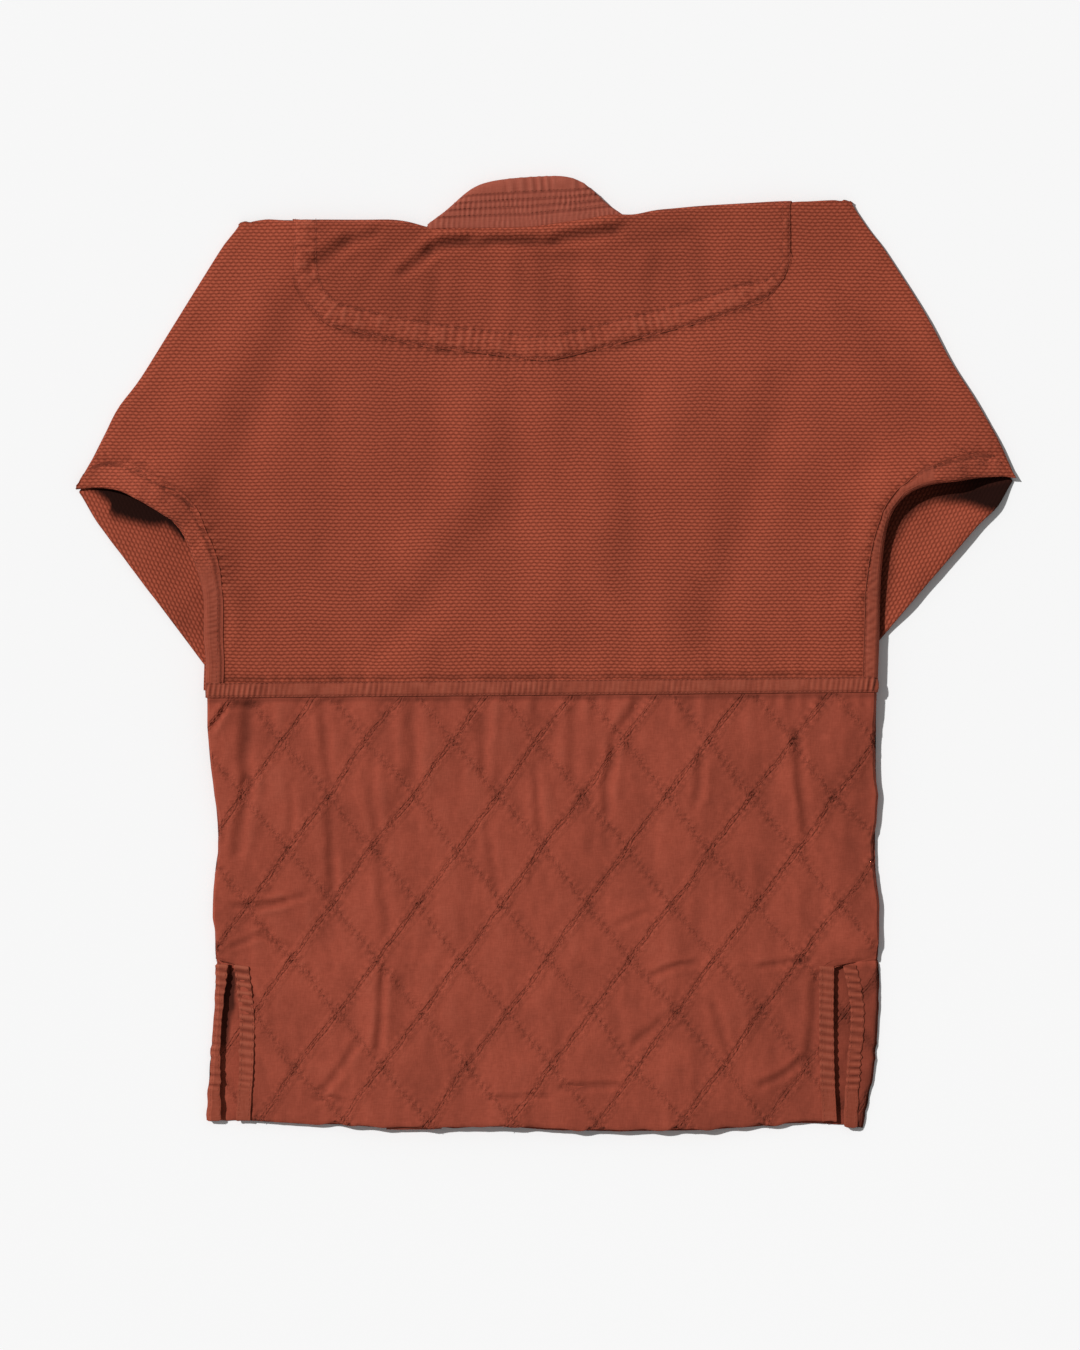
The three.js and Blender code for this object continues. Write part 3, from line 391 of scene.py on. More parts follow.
def creases(x, y, rows, wobble=2.0, seed=3):
    # straight creases with their width and height; the cloth swells beside them
    bentX = x + wobble * softNoise(x, y, 24, 24, seed)
    bentY = y + wobble * softNoise(x, y, 24, 24, seed + 1)
    total = np.zeros_like(x)
    for x0, y0, x1, y1, width, height in rows:
        length = math.hypot(x1 - x0, y1 - y0)
        ux, uy = (x1 - x0) / length, (y1 - y0) / length
        ahead = (bentX - x0) * ux + (bentY - y0) * uy
        aside = np.abs((bentX - x0) * uy - (bentY - y0) * ux) / width
        past = np.maximum(np.maximum(-ahead, ahead - length), 0.0) / (1.5 * width)
        total += height * (hump(aside, 1.0) - 0.4 * hump(aside - 2.1, 1.1)) * hump(past, 1.0)
    return total


def alongLine(x, y, line):
    # how far along a bent line each point is, and how far to its left
    away = np.full_like(x, 1e9)
    run, side = np.zeros_like(x), np.zeros_like(x)
    start = 0.0
    for (x0, y0), (x1, y1) in zip(line, line[1:]):
        dx, dy = x1 - x0, y1 - y0
        length = math.hypot(dx, dy)
        t = np.clip(((x - x0) * dx + (y - y0) * dy) / length ** 2, 0.0, 1.0)
        offX, offY = x - x0 - t * dx, y - y0 - t * dy
        distance = np.hypot(offX, offY)
        nearer = distance < away
        away = np.where(nearer, distance, away)
        run = np.where(nearer, start + t * length, run)
        side = np.where(nearer, np.sign(dx * offY - dy * offX) * distance, side)
        start += length
    return run, side


def offLine(x, y, line):
    return alongLine(x, y, line)[1]


def alongNormal(x, y, line):
    # direction away from a bent line on the side where the point is
    small = 0.05
    far = np.abs(offLine(x, y, line))
    goX = (np.abs(offLine(x + small, y, line)) - far) / small
    goY = (np.abs(offLine(x, y + small, line)) - far) / small
    size = np.maximum(np.hypot(goX, goY), 1e-6)
    return goX / size, goY / size


def besideLine(line, distance):
    # a line moved sideways, to the left of the way it runs; distance may change with the run along it
    moved, run = [], 0.0
    for k, (x, y) in enumerate(line):
        (x0, y0), (x1, y1) = line[max(0, k - 1)], line[min(len(line) - 1, k + 1)]
        length = math.dist((x0, y0), (x1, y1))
        run += math.dist(line[k - 1], (x, y)) if k else 0.0
        away = distance(run) if callable(distance) else distance
        moved.append((x - (y1 - y0) / length * away, y + (x1 - x0) / length * away))
    return moved


def puckers(run, pitch, seed):
    # cloth drawn up by a sewn row: ripples of uneven pitch and height along it
    phase = 2 * math.pi * run / pitch + 2.4 * softNoise(run, run * 0, pitch * 3.5, 1.0, seed)
    return np.sin(phase) * (0.75 + 0.45 * softNoise(run, run * 0, pitch * 5, 1.0, seed + 1))


def pointsOf(mesh):
    values = np.empty(len(mesh.vertices) * 3)
    mesh.vertices.foreach_get("co", values)
    return values.reshape(-1, 3) / metre


def movePoints(mesh, points):
    mesh.vertices.foreach_set("co", (points * metre).ravel())
    mesh.update()


def normalsOf(mesh):
    values = np.empty(len(mesh.vertices) * 3, np.float32)
    mesh.vertex_normals.foreach_get("vector", values)
    return values.reshape(-1, 3).astype(float)


def keepValues(mesh, name, values):
    attribute = mesh.attributes.new(name, "FLOAT", "POINT")
    attribute.data.foreach_set("value", values.astype(np.float32))


def roundedCloth(node, levels, cuts, sharp=50.0):
    # the solid's quads, rounded everywhere but at the cloth's cut edges, and cut finer on top
    bm = bmesh.new()
    bm.from_mesh(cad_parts[node].data)
    bmesh.ops.remove_doubles(bm, verts=bm.verts, dist=2e-6)
    bmesh.ops.join_triangles(bm, faces=bm.faces, angle_face_threshold=math.pi, angle_shape_threshold=math.pi)
    keep = bm.edges.layers.float.new("crease_edge")
    for edge in bm.edges:
        if edge.calc_face_angle(0.0) > math.radians(sharp):
            edge[keep] = 0.85
    mesh = meshOf(bm, node)
    piece = placed(node, mesh)
    rounding = piece.modifiers.new("rounding", "SUBSURF")
    rounding.levels = rounding.render_levels = levels
    # rounding draws the corners in, so they are set out by as much, and the cloth keeps the solid's outline
    aim = pointsOf(mesh)
    for again in range(2):
        shown = piece.evaluated_get(bpy.context.evaluated_depsgraph_get())
        movePoints(mesh, pointsOf(mesh) + aim - pointsOf(shown.data)[:len(aim)])
    shown = piece.evaluated_get(bpy.context.evaluated_depsgraph_get())
    smooth = bpy.data.meshes.new_from_object(shown)
    piece.modifiers.clear()
    piece.data = smooth
    bpy.data.meshes.remove(mesh)
    if cuts:
        bm = bmesh.new()
        bm.from_mesh(smooth)
        edges = list({e for f in bm.faces if f.normal.z > 0.35 for e in f.edges})
        bmesh.ops.subdivide_edges(bm, edges=edges, cuts=cuts, use_grid_fill=True)
        bm.to_mesh(smooth)
        bm.free()
    return piece


def flatMap(mesh, turn):
    # flat-pattern coordinates in metres: the place on the floor, let out round each turned edge
    bend = 8.0
    points, normals = pointsOf(mesh), normalsOf(mesh)
    lean = np.maximum(np.hypot(normals[:, 0], normals[:, 1]), 1e-6)
    angle = np.arctan2(lean, normals[:, 2])
    letOut = bend * (angle - np.sin(angle)) / lean
    x = points[:, 0] + normals[:, 0] * letOut
    y = points[:, 1] + normals[:, 1] * letOut
    c, s = math.cos(math.radians(turn)), math.sin(math.radians(turn))
    flat = np.stack([x * c + y * s, y * c - x * s], axis=1) * metre
    corners = np.empty(len(mesh.loops), int)
    mesh.loops.foreach_get("vertex_index", corners)
    layer = mesh.uv_layers.new(name="flatPattern")
    layer.data.foreach_set("uv", flat[corners].ravel())


def dress(node, name, material, shape=None, through=None, levels=2, cuts=0, turn=0.0):
    # shape raises the upper face and gives its wear and painted shade; through moves the whole thickness
    piece = roundedCloth(node, levels, cuts)
    piece.name = name
    mesh = piece.data
    mesh.name = name
    points, normals = pointsOf(mesh), normalsOf(mesh)
    x, y, z = points.T.copy()
    wearAndShade = np.zeros(len(points))
    if through is not None:
        points += through(x, y, z)
    if shape is not None:
        lift, wearAndShade = shape(x, y)
        points += normals * (lift * step(normals[:, 2], -0.1, 0.45))[:, None]
    points[:, 2] = np.maximum(points[:, 2], 0.0)
    movePoints(mesh, points)
    keepValues(mesh, "wearAndShade", np.clip(wearAndShade, -1.0, 1.0))
    flatMap(mesh, turn)
    mesh.shade_smooth()
    mesh.materials.clear()
    mesh.materials.append(material)
    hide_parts(node)
    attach(piece, "root")
    print("cloth:", name, len(mesh.polygons), "faces")
    return piece


waistLine = [(-314.0, -34.3), (304.0, -29.0)]
waistTape = {"halfWidth": 8.6, "full": 7.4, "slant": 0.15, "pitch": 5.0, "height": 0.7, "rowOut": 6.0}
sideTapes = {
    "left": [(-433, 151), (-397, 152), (-383, 146), (-368, 138), (-344, 123), (-329, 102), (-319, 78),
             (-313, 55), (-312.5, 30), (-313, 2), (-314, -34)],
    "right": [(433, 162), (405, 163), (379, 158.5), (353, 155.5), (331, 146), (316, 127), (310, 101),
              (306.5, 66), (305.5, 22), (304, -29)],
    "width": 13.5, "pitch": 4.4, "height": 0.5, "rowInset": 2.0,
    # widths at places along the run, and how far along it the rice-grain cloth gives way to plain tape
    "leftWidths": ([0, 95, 120, 148, 170], [25, 25, 20, 19.5, 16.5]), "leftGrains": (135.0, 165.0),
    "rightWidths": ([0, 60, 80, 100, 135, 165, 200], [21.5, 20.5, 15, 9, 7.5, 10.5, 13]),
    "rightGrains": (74.0, 80.0),
}
patchOutline = [
    (-232.3, 400), (-232.3, 352.3), (-228, 335), (-221.2, 320), (-209.3, 308.2), (-197.3, 299.5),
    (-168.8, 293), (-133.8, 285), (-100.7, 279.5), (-57.5, 274.5), (-15.1, 268.5), (8.7, 268.5),
    (45.5, 277.5), (79.5, 286.5), (114.5, 295), (147.6, 304), (181.7, 316), (207.4, 327),
    (221.2, 343), (226.5, 359.7), (226.5, 413),
]
neckSeam = [(-108, 391), (-61, 391.5), (-15, 392.5), (33, 399), (60, 404), (76, 402.5)]
shoulderPatch = {"rows": (2.6, 21.5), "rightRow": 9.0, "pitch": 7.0, "puff": 0.32, "rimDown": 1.45}
upperBack = {
    "swell": 0.55, "ripple": 0.2, "creased": 0.8,
    # x0, y0, x1, y1, width, height
    "creases": [
        (-212, 357, -184, 377, 6, -2.2), (-184, 377, -157, 385, 5, -1.8), (-129, 352, -106, 369, 5, -2.8),
        (-106, 369, -74, 380, 4.5, -2.6), (-51, 377, 9, 379, 4.5, -2.0), (9, 379, 69, 389, 4.5, -1.9),
        (-23, 352, -28, 283, 7, -0.5), (0, 366, 50, 360, 7, -1.0), (2, 348, 0, 279, 7, -0.4),
        (27, 351, 24, 277, 7, -0.45), (-46, 339, -56, 288, 7, -0.45), (-101, 339, -108, 297, 6, -1.1),
        (-152, 360, -166, 334, 6, -0.7), (87, 380, 133, 387, 7, -1.0), (101, 360, 94, 297, 7, -0.7),
        (144, 371, 147, 325, 8, -0.7), (-235, 311, -304, 150, 16, -1.6), (-33, 270, -33, 122, 15, -1.0),
        (-46, 132, -152, 3, 15, -1.3), (78, 233, 78, 58, 15, -1.1), (216, 242, 142, 3, 16, -1.2),
        (-321, 150, -292, 49, 8, 1.4), (-281, 58, -288, 3, 7, 0.9), (308, 159, 280, 49, 9, 1.2),
        (-198, 233, -203, 86, 14, -0.6), (-97, 233, -106, 141, 14, -0.7), (23, 251, 27, 12, 14, -0.7),
        (161, 251, 174, 122, 14, -0.6), (-272, 214, -281, 86, 12, -0.6),
    ],
}


def aboveWaist(x, y):
    return offLine(x, y, waistLine)


folded = {
    # the folds from shoulder to underarm, and how flat the layers are pressed along them
    "left": [(-283, 398), (-433, 151)], "right": [(284, 416), (433, 162)], "flat": 0.4, "reach": 80.0,
    "open": [(-360, 138, 8.0), (368, 163, 8.5)],     # where the underarms stand open: middle and height
    "openReach": 40.0,
    # waves of the folds' edges: y of the middle, reach, how far out, and which way that is
    "waves": {"left": (221, 20, 3.7, (-0.85, 0.52)), "right": (269, 28, -2.6, (0.87, 0.5))},
    "waveReach": 30, "lean": 1.3,    # lean is how far out they are between shoulder and underarm
    # where the underarm tips end, how far they are blunted, and how far the hidden fronts keep off them
    "tipX": 432.5, "tipFrom": (420, 434), "bluntLeft": 1.2, "bluntRight": 1.6,
    "clearFrom": (405.0, 434.0), "clearBy": 5.0,
    # the sleeves' folded corners, which close up to the body's tips
    "corners": [((-426, 141.5), (-427.5, 149.0)), ((425.5, 153.2), (428.0, 159.5)),
                ((411, 138), (413.5, 136.5))],
    "cornerReach": 15.0,
    "sleeveEdge": [(426, 152), (290, -12)], "sleeveRise": 4.5,
    # x and rise of the shoulder line's two ends
    "shoulderEnds": ([-282, -279, -276, -273, -270, -266, -255, -240, -225, 226, 250, 266, 274, 279, 284],
                     [-2.6, 0.3, 3.4, 6.0, 7.8, 8.4, 7.3, 3.2, 0.6, 1, 4.8, 7.5, 6.5, 1.5, -1.0]),
}
sideDrawn = {
    # how far in, between which y, from which x outwards
    "leftWaist": (2.8, (20, -12), (-180, -200), (284, 306)),
    "leftVent": (2.3, (-240, -262), (280, 300)),
    "leftUnderarm": (3.5, (-336, 113), 16),          # round this place, with its reach
    "right": (2.5, [(-131, 11), (-231, 20)], (272, 292)),
}


def together(x, moveX, moveY, moveZ):
    return np.stack([x * 0 + moveX, x * 0 + moveY, x * 0 + moveZ], axis=1)


def pressed(x, y):
    # 1 inside, less towards the folds
    away = np.minimum(np.abs(offLine(x, y, folded["left"])), np.abs(offLine(x, y, folded["right"])))
    return folded["flat"] + (1 - folded["flat"]) * step(away, 4.0, folded["reach"])


def innerThrough(x, y, z):
    # hidden layers follow the folds only, and keep clear of the tips
    clear = -folded["clearBy"] * np.sign(x) * step(np.abs(x), *folded["clearFrom"])
    return together(x, clear, 0, z * (pressed(x, y) - 1))


def bodyFolds(x, y):
    # soft folds that go through every layer of the upper back alike
    calm = step(aboveWaist(x, y), 8.0, 45.0)
    swell = upperBack["swell"] * softNoise(x, y, 42, 60, 11)
    swell += upperBack["ripple"] * softNoise(x, y, 13, 20, 12)
    return (upperBack["creased"] * creases(x, y, upperBack["creases"]) + swell) * calm


def sideDraw(x, y):
    # the sides are drawn in a little here and there
    by, top, end, outer = sideDrawn["leftWaist"]
    drawn = by * step(y, *top) * (1 - step(y, *end)) * step(-x, *outer)
    by, top, outer = sideDrawn["leftVent"]
    drawn += by * step(y, *top) * step(-x, *outer)
    by, (middleX, middleY), reach = sideDrawn["leftUnderarm"]
    drawn += by * hump(np.hypot(x - middleX, y - middleY), reach)
    by, places, outer = sideDrawn["right"]
    return drawn + by * sum(hump(y - middle, reach) for middle, reach in places) * step(x, *outer)


def bodyThrough(x, y, z):
    leftTip, rightTip = step(-x, *folded["tipFrom"]), step(x, *folded["tipFrom"])
    moveX = folded["bluntLeft"] * leftTip - folded["bluntRight"] * rightTip + sideDraw(x, y)
    moveY = np.interp(x, *folded["shoulderEnds"]) * step(y, 372, 402)
    lean = folded["lean"] * step(y, 170, 200) * (1 - step(y, 370, 392))
    for edge, (middle, reach, far, (outX, outY)) in folded["waves"].items():
        out = (far * hump(y - middle, reach) + lean) * hump(offLine(x, y, folded[edge]), folded["waveReach"])
        moveX += outX * out
        moveY += outY * out
    rise = sum(high * hump(np.hypot(x - cx, y - cy), folded["openReach"]) for cx, cy, high in folded["open"])
    return together(x, moveX, moveY, z * (pressed(x, y) - 1) + rise + bodyFolds(x, y))


def bodySurface(x, y):
    # height of the upper back's top face
    down = Vector((0, 0, -1))
    spots = [backSolid.ray_cast(Vector((a * metre, b * metre, 0.2)), down)[0] for a, b in zip(x, y)]
    return np.array([np.nan if spot is None else spot.z / metre for spot in spots])


def tapeThrough(edge):
    # the strip is let out or in from its outer edge and then follows the body
    def through(x, y, z):
        run, side = alongLine(x, y, sideTapes[edge])
        inside = np.maximum(side if edge == "left" else -side, 0.0)
        more = inside * (np.interp(run, *sideTapes[edge + "Widths"]) / sideTapes["width"] - 1)
        awayX, awayY = alongNormal(x, y, sideTapes[edge])
        newX, newY = np.clip(x + awayX * more, -folded["tipX"], folded["tipX"]), y + awayY * more
        rise = np.nan_to_num(bodySurface(newX, newY) - bodySurface(x, y))
        return bodyThrough(newX, newY, z + rise) + together(x, newX - x, newY - y, rise)
    return through


def upperBackShape(x, y):
    run, side = alongLine(x, y, patchOutline)
    draw = 0.28 * puckers(run, 8.0, 21) * hump(np.minimum(side, 0), 12.0)
    # painted shadow: a dark line on the back just below the patch's lower edge
    sloping = step(x, -222, -200) * (1 - step(x, 185, 205))
    patchEdgeShade = hump(side + 1.6, 2.6) * sloping * (0.8 + 0.7 * softNoise(x, y, 14, 14, 25))
    above = aboveWaist(x, y)
    gather = 0.35 * softNoise(x, y, 6.5, 30, 22) * hump(above, 26.0)
    # painted shadow: a dark line on the back just above the waist tape
    lift, dark = draw + gather, hump(above - waistTape["halfWidth"] - 1.5, 2.5) + patchEdgeShade
    for edge, seed in [("left", 23), ("right", 24)]:
        run, side = alongLine(x, y, sideTapes[edge])
        beside = np.abs(side) - np.interp(run, *sideTapes[edge + "Widths"])
        curved = step(y, 20.0, 60.0)
        lift += 0.6 * puckers(run, 6.5, seed) * hump(beside - 4.0, 8.0) * curved
        # painted shadow: a dark line on the back beside each side tape's edge
        dark += 0.6 * hump(beside - 1.2, 2.2) * (0.9 + 0.5 * puckers(run, 6.5, seed + 2))
    # puckers paler as wear; the folds' creases a little darker as painted shade
    return lift, 0.5 * lift + 0.07 * bodyFolds(x, y) - 0.34 * dark


def innerRow(run, total):
    # the second row runs closer to the edge on the wearer's right
    closer = step(run, total - 120.0, total - 60.0)
    return shoulderPatch["rows"][1] * (1 - closer) + shoulderPatch["rightRow"] * closer


patchRun = sum(math.dist(a, b) for a, b in zip(patchOutline, patchOutline[1:]))


def patchThrough(x, y, z):
    # the rim is sewn down into the back's thick cloth
    rim = shoulderPatch["rimDown"] * hump(offLine(x, y, patchOutline), 4.5)
    return bodyThrough(x, y, z) - together(x, 0, 0, rim)


def patchShape(x, y):
    run, side = alongLine(x, y, patchOutline)
    inside = np.abs(side)
    inner = innerRow(run, patchRun)
    band = step(inside, 0.0, 4.0) * (1 - step(inside, inner - 2.0, inner + 5.0))
    leftish = 1 + 0.35 * hump(x + 215, 26)
    ripple = puckers(run, shoulderPatch["pitch"], 31) * (0.5 + 0.3 * softNoise(x, y, 30, 30, 32)) * leftish
    rows = -0.45 * hump(inside - shoulderPatch["rows"][0], 1.5) - 0.6 * hump(inside - inner, 1.8)
    rows *= 1 - 0.6 * step(np.abs(x + 3), 208.0, 224.0)
    # the edge is sewn down flat, so that little of its thickness shows
    sewnDown = -0.6 * hump(inside, 2.8) * (0.9 + 0.2 * softNoise(x, y, 9, 9, 34))
    seamRun, seamSide = alongLine(x, y, neckSeam)
    along = step(seamRun, 2.0, 12.0) * (1 - step(seamRun, 172.0, 182.0))
    uneven = 1 + 0.3 * puckers(seamRun, 5.5, 33) + 0.5 * softNoise(seamRun, seamSide, 30, 12, 35)
    ridge = 1.9 * hump(seamSide + 6.5, 4.5) * uneven * along
    trough = (0.6 + 0.8 * softNoise(seamRun, seamSide, 22, 10, 36)) * along
    trough *= -1.2 * hump(seamSide + 15.0, 5.0)
    ripple += 0.7 * softNoise(x, y, 4.5, 4.5, 37) * leftish
    lift = 0.7 * band * ripple + rows + sewnDown + shoulderPatch["puff"] * band + ridge + trough
    worn = 0.55 * np.maximum(ripple, 0.0) + 0.28 * np.minimum(ripple, 0.0)
    wearAndShade = band * worn + 0.2 * band + 0.6 * rows + 0.1 * bodyFolds(x, y) + 0.1 * ridge + 0.25 * trough
    # painted shade: the whole patch is 0.11 darker for its slope away from the light, and its troughs are
    # darker too
    return lift, wearAndShade - 0.11


def sideTapeShape(edge, seed):
    def shape(x, y):
        run, side = alongLine(x, y, sideTapes[edge])
        inside = np.abs(side)
        full = np.sin(math.pi * np.clip(inside / sideTapes["width"], 0.0, 1.0))
        plain = step(run, *sideTapes[edge + "Grains"])
        ripple = sideTapes["height"] * puckers(run + 0.3 * inside, sideTapes["pitch"], seed) * full
        ripple *= 0.25 + 0.75 * plain
        row = -0.7 * hump(inside - sideTapes["width"] + sideTapes["rowInset"], 1.2)
        row *= 1 + 0.5 * puckers(run, 5.0, seed + 4)
        creased = 0.6 * softNoise(x, y, 9, 9, seed + 50) * (1.4 - plain)
        sewnDown = -0.8 * hump(inside - sideTapes["width"], 2.2)
        return ripple + row + creased + sewnDown, 0.9 * ripple + 0.6 * row + 0.2 * creased
    return shape


def waistTapeShape(x, y):
    side = aboveWaist(x, y)
    slanted = x - waistTape["slant"] * side
    middle = np.clip(1 - (side / waistTape["full"]) ** 2, 0.0, 1.0)
    uneven = 0.75 + 0.7 * softNoise(x, y, 28, 40, 48)
    ripple = waistTape["height"] * puckers(slanted, waistTape["pitch"], 41) * np.sqrt(middle) * uneven
    ripple += 0.3 * softNoise(x, y, 3.5, 9, 49) * np.sqrt(middle)
    rows = -0.6 * hump(np.abs(side) - waistTape["rowOut"], 1.0)
    edges = hump(np.abs(side) - waistTape["halfWidth"], 1.5)
    # painted shade: the tape is darker along both its edges
    wearAndShade = 0.7 * ripple + 0.7 * rows - 0.25 * edges + 0.15 * softNoise(x, y, 7, 7, 50)
    return 0.3 * middle + ripple + rows - 0.3 * edges, wearAndShade


def waistTapeThrough(x, y, z):
    return together(x, sideDraw(x, y), 0, 0)


ventTape = {
    "height": 0.75, "pitch": 7.6, "slant": 0.15, "puff": 0.3, "sunk": 0.6, "rowInset": 2.2, "spacing": 4.6,
    # painted shade: how much darker the wearer's right vent is
    "shade": 0.24,                   # how much darker the wearer's right vent is
}


def ventTapeShape(seed):
    def shape(x, y):
        ripple = ventTape["height"] * puckers(y + ventTape["slant"] * x, ventTape["pitch"], seed)
        ripple *= 1 - step(-y, 395.0, 412.0)
        # painted shade: the tapes in the wearer's right vent are darker
        return ventTape["puff"] + ripple, 0.9 * ripple - ventTape["shade"] * step(x, 272, 280)
    return shape


neckband = {
    "base": [(-108, 391), (-61, 391.8), (-15, 392.8), (33, 399.3), (60, 405), (76, 405)],
    "highRow": [(-108, 417.5), (-65.7, 421.3), (-23.4, 424.1), (32.6, 426.8), (76, 428.5)],
    "rows": (0.36, 0.58, 0.79, 1.0),   # shares of the way from the neck seam to the highest row
    "rowDepth": 0.85, "pucker": 0.4, "fold": 0.9,
    "lower": ([-108, 10, 60, 78], [1.5, 2.0, 3.4, 6.5]),      # x and how far the band is set down
    "full": (50, 16, 3.0),             # x, reach and height of the top edge's swell
    "spacing": 3.9, "stitch": 3.0,
}


def rowHeight(x, line):
    return np.interp(x, [p[0] for p in line], [p[1] for p in line])


def neckbandShape(x, y):
    base, high = rowHeight(x, neckband["base"]), rowHeight(x, neckband["highRow"])
    share = (y - base) / (high - base)
    deep = high - base
    rows = -neckband["rowDepth"] * sum(hump((share - row) * deep, 1.1) for row in neckband["rows"])
    below = 1 - step(share, 0.97, 1.03)
    channel = np.floor(np.clip(share, 0.0, 1.0) * 5)
    small = neckband["pucker"] * puckers(x + 9 * channel, 4.6, 51) * below
    small *= 0.8 + 0.5 * softNoise(x, y, 18, 9, 54)
    patches = step(softNoise(x, y, 17, 60, 53), -0.25, 0.55)
    large = neckband["fold"] * puckers(x + 0.1 * y, 8.5, 52) * (1 - below) * hump(share - 1.1, 0.6) * patches
    return rows + small + large, 0.9 * small + 0.6 * rows + 0.5 * large + 0.05


def neckbandThrough(x, y, z):
    middle, reach, high = neckband["full"]
    full = high * hump(x - middle, reach) * step(y, 412, 428)
    return together(x, -2.0 * step(-x, 90, 108), full - np.interp(x, *neckband["lower"]), 0)


skirt = {
    "grooveDepth": 0.9, "crinkle": 0.42, "crinklePitch": 7.0, "gather": 1.2, "hemWave": 1.3, "sideWave": 1.3,
    "ventDip": 3.5,
    # x along the hem and how far it is drawn up there
    "hemDraw": ([-330, -274, -185, -150, -80, -64, -31, 0, 68, 133, 200, 240, 278, 300],
                [2, 4.5, 4.5, 2, 3, 4.5, 4.5, 2, 0, 0, 2, 4, 5.5, 4]),
    # painted shade in the hollow at the top of the wearer's left vent: y, and x of its two sides
    "hollowAt": [-362, -354, -312, -300, -285],
    "hollow": ([-302, -302, -300, -296, -291], [-296, -292.5, -286, -284.5, -290]),
    # dark is how deep the painted shade goes below the waist tape and in the wearer's right vent
    "swell": (0.95, 0.45), "creased": 1.1, "dark": 0.38,
    "creases": [
        (-274, -47, -275, -120, 5, -2.2), (-275, -120, -283, -180, 5, -1.9), (-207, -50, -197, -115, 4, -1.3),
        (-231, -125, -234, -165, 4, -1.0), (-160, -97, -155, -165, 5, -1.2), (-122, -55, -123, -109, 6, -1.6),
        (-197, -146, -195, -214, 4, -1.3), (-152, -186, -145, -256, 5, -1.2),
        (-149, -295, -152, -361, 3.5, -2.0),
        (-57, -60, -57, -105, 5, -1.3), (-8, -109, -4, -159, 4, -1.2), (-54, -159, -46, -217, 4, -1.0),
        (-173, -358, -203, -402, 4, -1.4), (-267, -237, -223, -224, 2.5, -1.4), (25, -57, 26, -109, 5, -1.3),
        (60, -86, 55, -144, 4, -1.8), (229, -75, 241, -165, 4, -1.7), (142, -97, 139, -138, 4, -1.2),
        (69, -248, 90, -240, 3, -1.0), (101, -295, 135, -284, 3, -1.1), (82, -358, 116, -331, 3.5, -1.1),
        (155, -329, 171, -372, 4, -1.1), (200, -287, 239, -282, 3, -1.1), (200, -397, 236, -374, 3, -1.6),
        (17, -399, 67, -397, 3, -1.6), (250, -298, 242, -371, 4, -1.2), (17, -43, 42, -43, 3, -1.0),
        (94, -37, 64, -75, 4, -1.4), (-290, -269, -261, -260, 2.5, -1.2), (-261, -260, -226, -270, 2.5, -1.0),
        (-285, -244, -255, -255, 2.5, -0.8), (-272, -305, -261, -328, 3, -1.0),
        (-209, -412, -180, -414, 2.5, -1.4),
        (-49, -413, 0, -409, 2.5, -1.3), (-261, -221, -226, -221, 2.5, -0.7),
        (-309, -66, -296, -53, 3, -1.8), (-296, -53, -264, -46, 2.8, -1.2), (-284, -234, -240, -230, 3, -1.6),
    ],
}


def quiltNumber(x, y, sign):
    # whole numbers lie on the sewn lines
    alongX, alongY, spacing = quiltSteps(sign)
    strayed = sum(far * softNoise(x, y, size, size, 72 - sign + 7 * k)
                  for k, (far, size) in enumerate(quilting["stray"])) * (1.4 if sign < 0 else 1.0)
    return (x - quilting["startX"]) * alongX + (y - quilting["startY"]) * alongY + strayed / spacing


def nearestSewn(x, y, sign):
    # distance from the nearest sewn line, the place along it and its number
    alongX, alongY, spacing = quiltSteps(sign)
    value = quiltNumber(x, y, sign)
    number = np.round(value)
    return (value - number) * spacing, (y * alongX - x * alongY) * spacing, number


def skirtFolds(x, y):
    # folds that go through the quilted layers alike, kept level under the waist tape
    calm = step(-aboveWaist(x, y), 5.0, 16.0)
    swell = skirt["swell"][0] * softNoise(x, y, 22, 65, 61) + skirt["swell"][1] * softNoise(x, y, 11, 34, 62)
    return (skirt["creased"] * creases(x, y, skirt["creases"]) + swell) * calm


def skirtThrough(x, y, z):
    hem = skirt["hemWave"] * softNoise(x, x * 0, 15, 1.0, 64) + np.interp(x, *skirt["hemDraw"])
    side = skirt["sideWave"] * softNoise(y, y * 0, 22, 1.0, 65)
    side *= step(np.abs(x), 270.0, 300.0) * step(-y, 40, 70)
    # the cloth comes down to the layer below it just above each vent
    vents = (1 - step(y + 287, 2.0, 26.0)) * (hump(x + 300, 26) + hump(x - 300, 30)) * step(y, -292, -286)
    rise = skirtFolds(x, y) - skirt["ventDip"] * vents
    return together(x, side + sideDraw(x, y), hem * step(-y, 390.0, 425.0), rise)


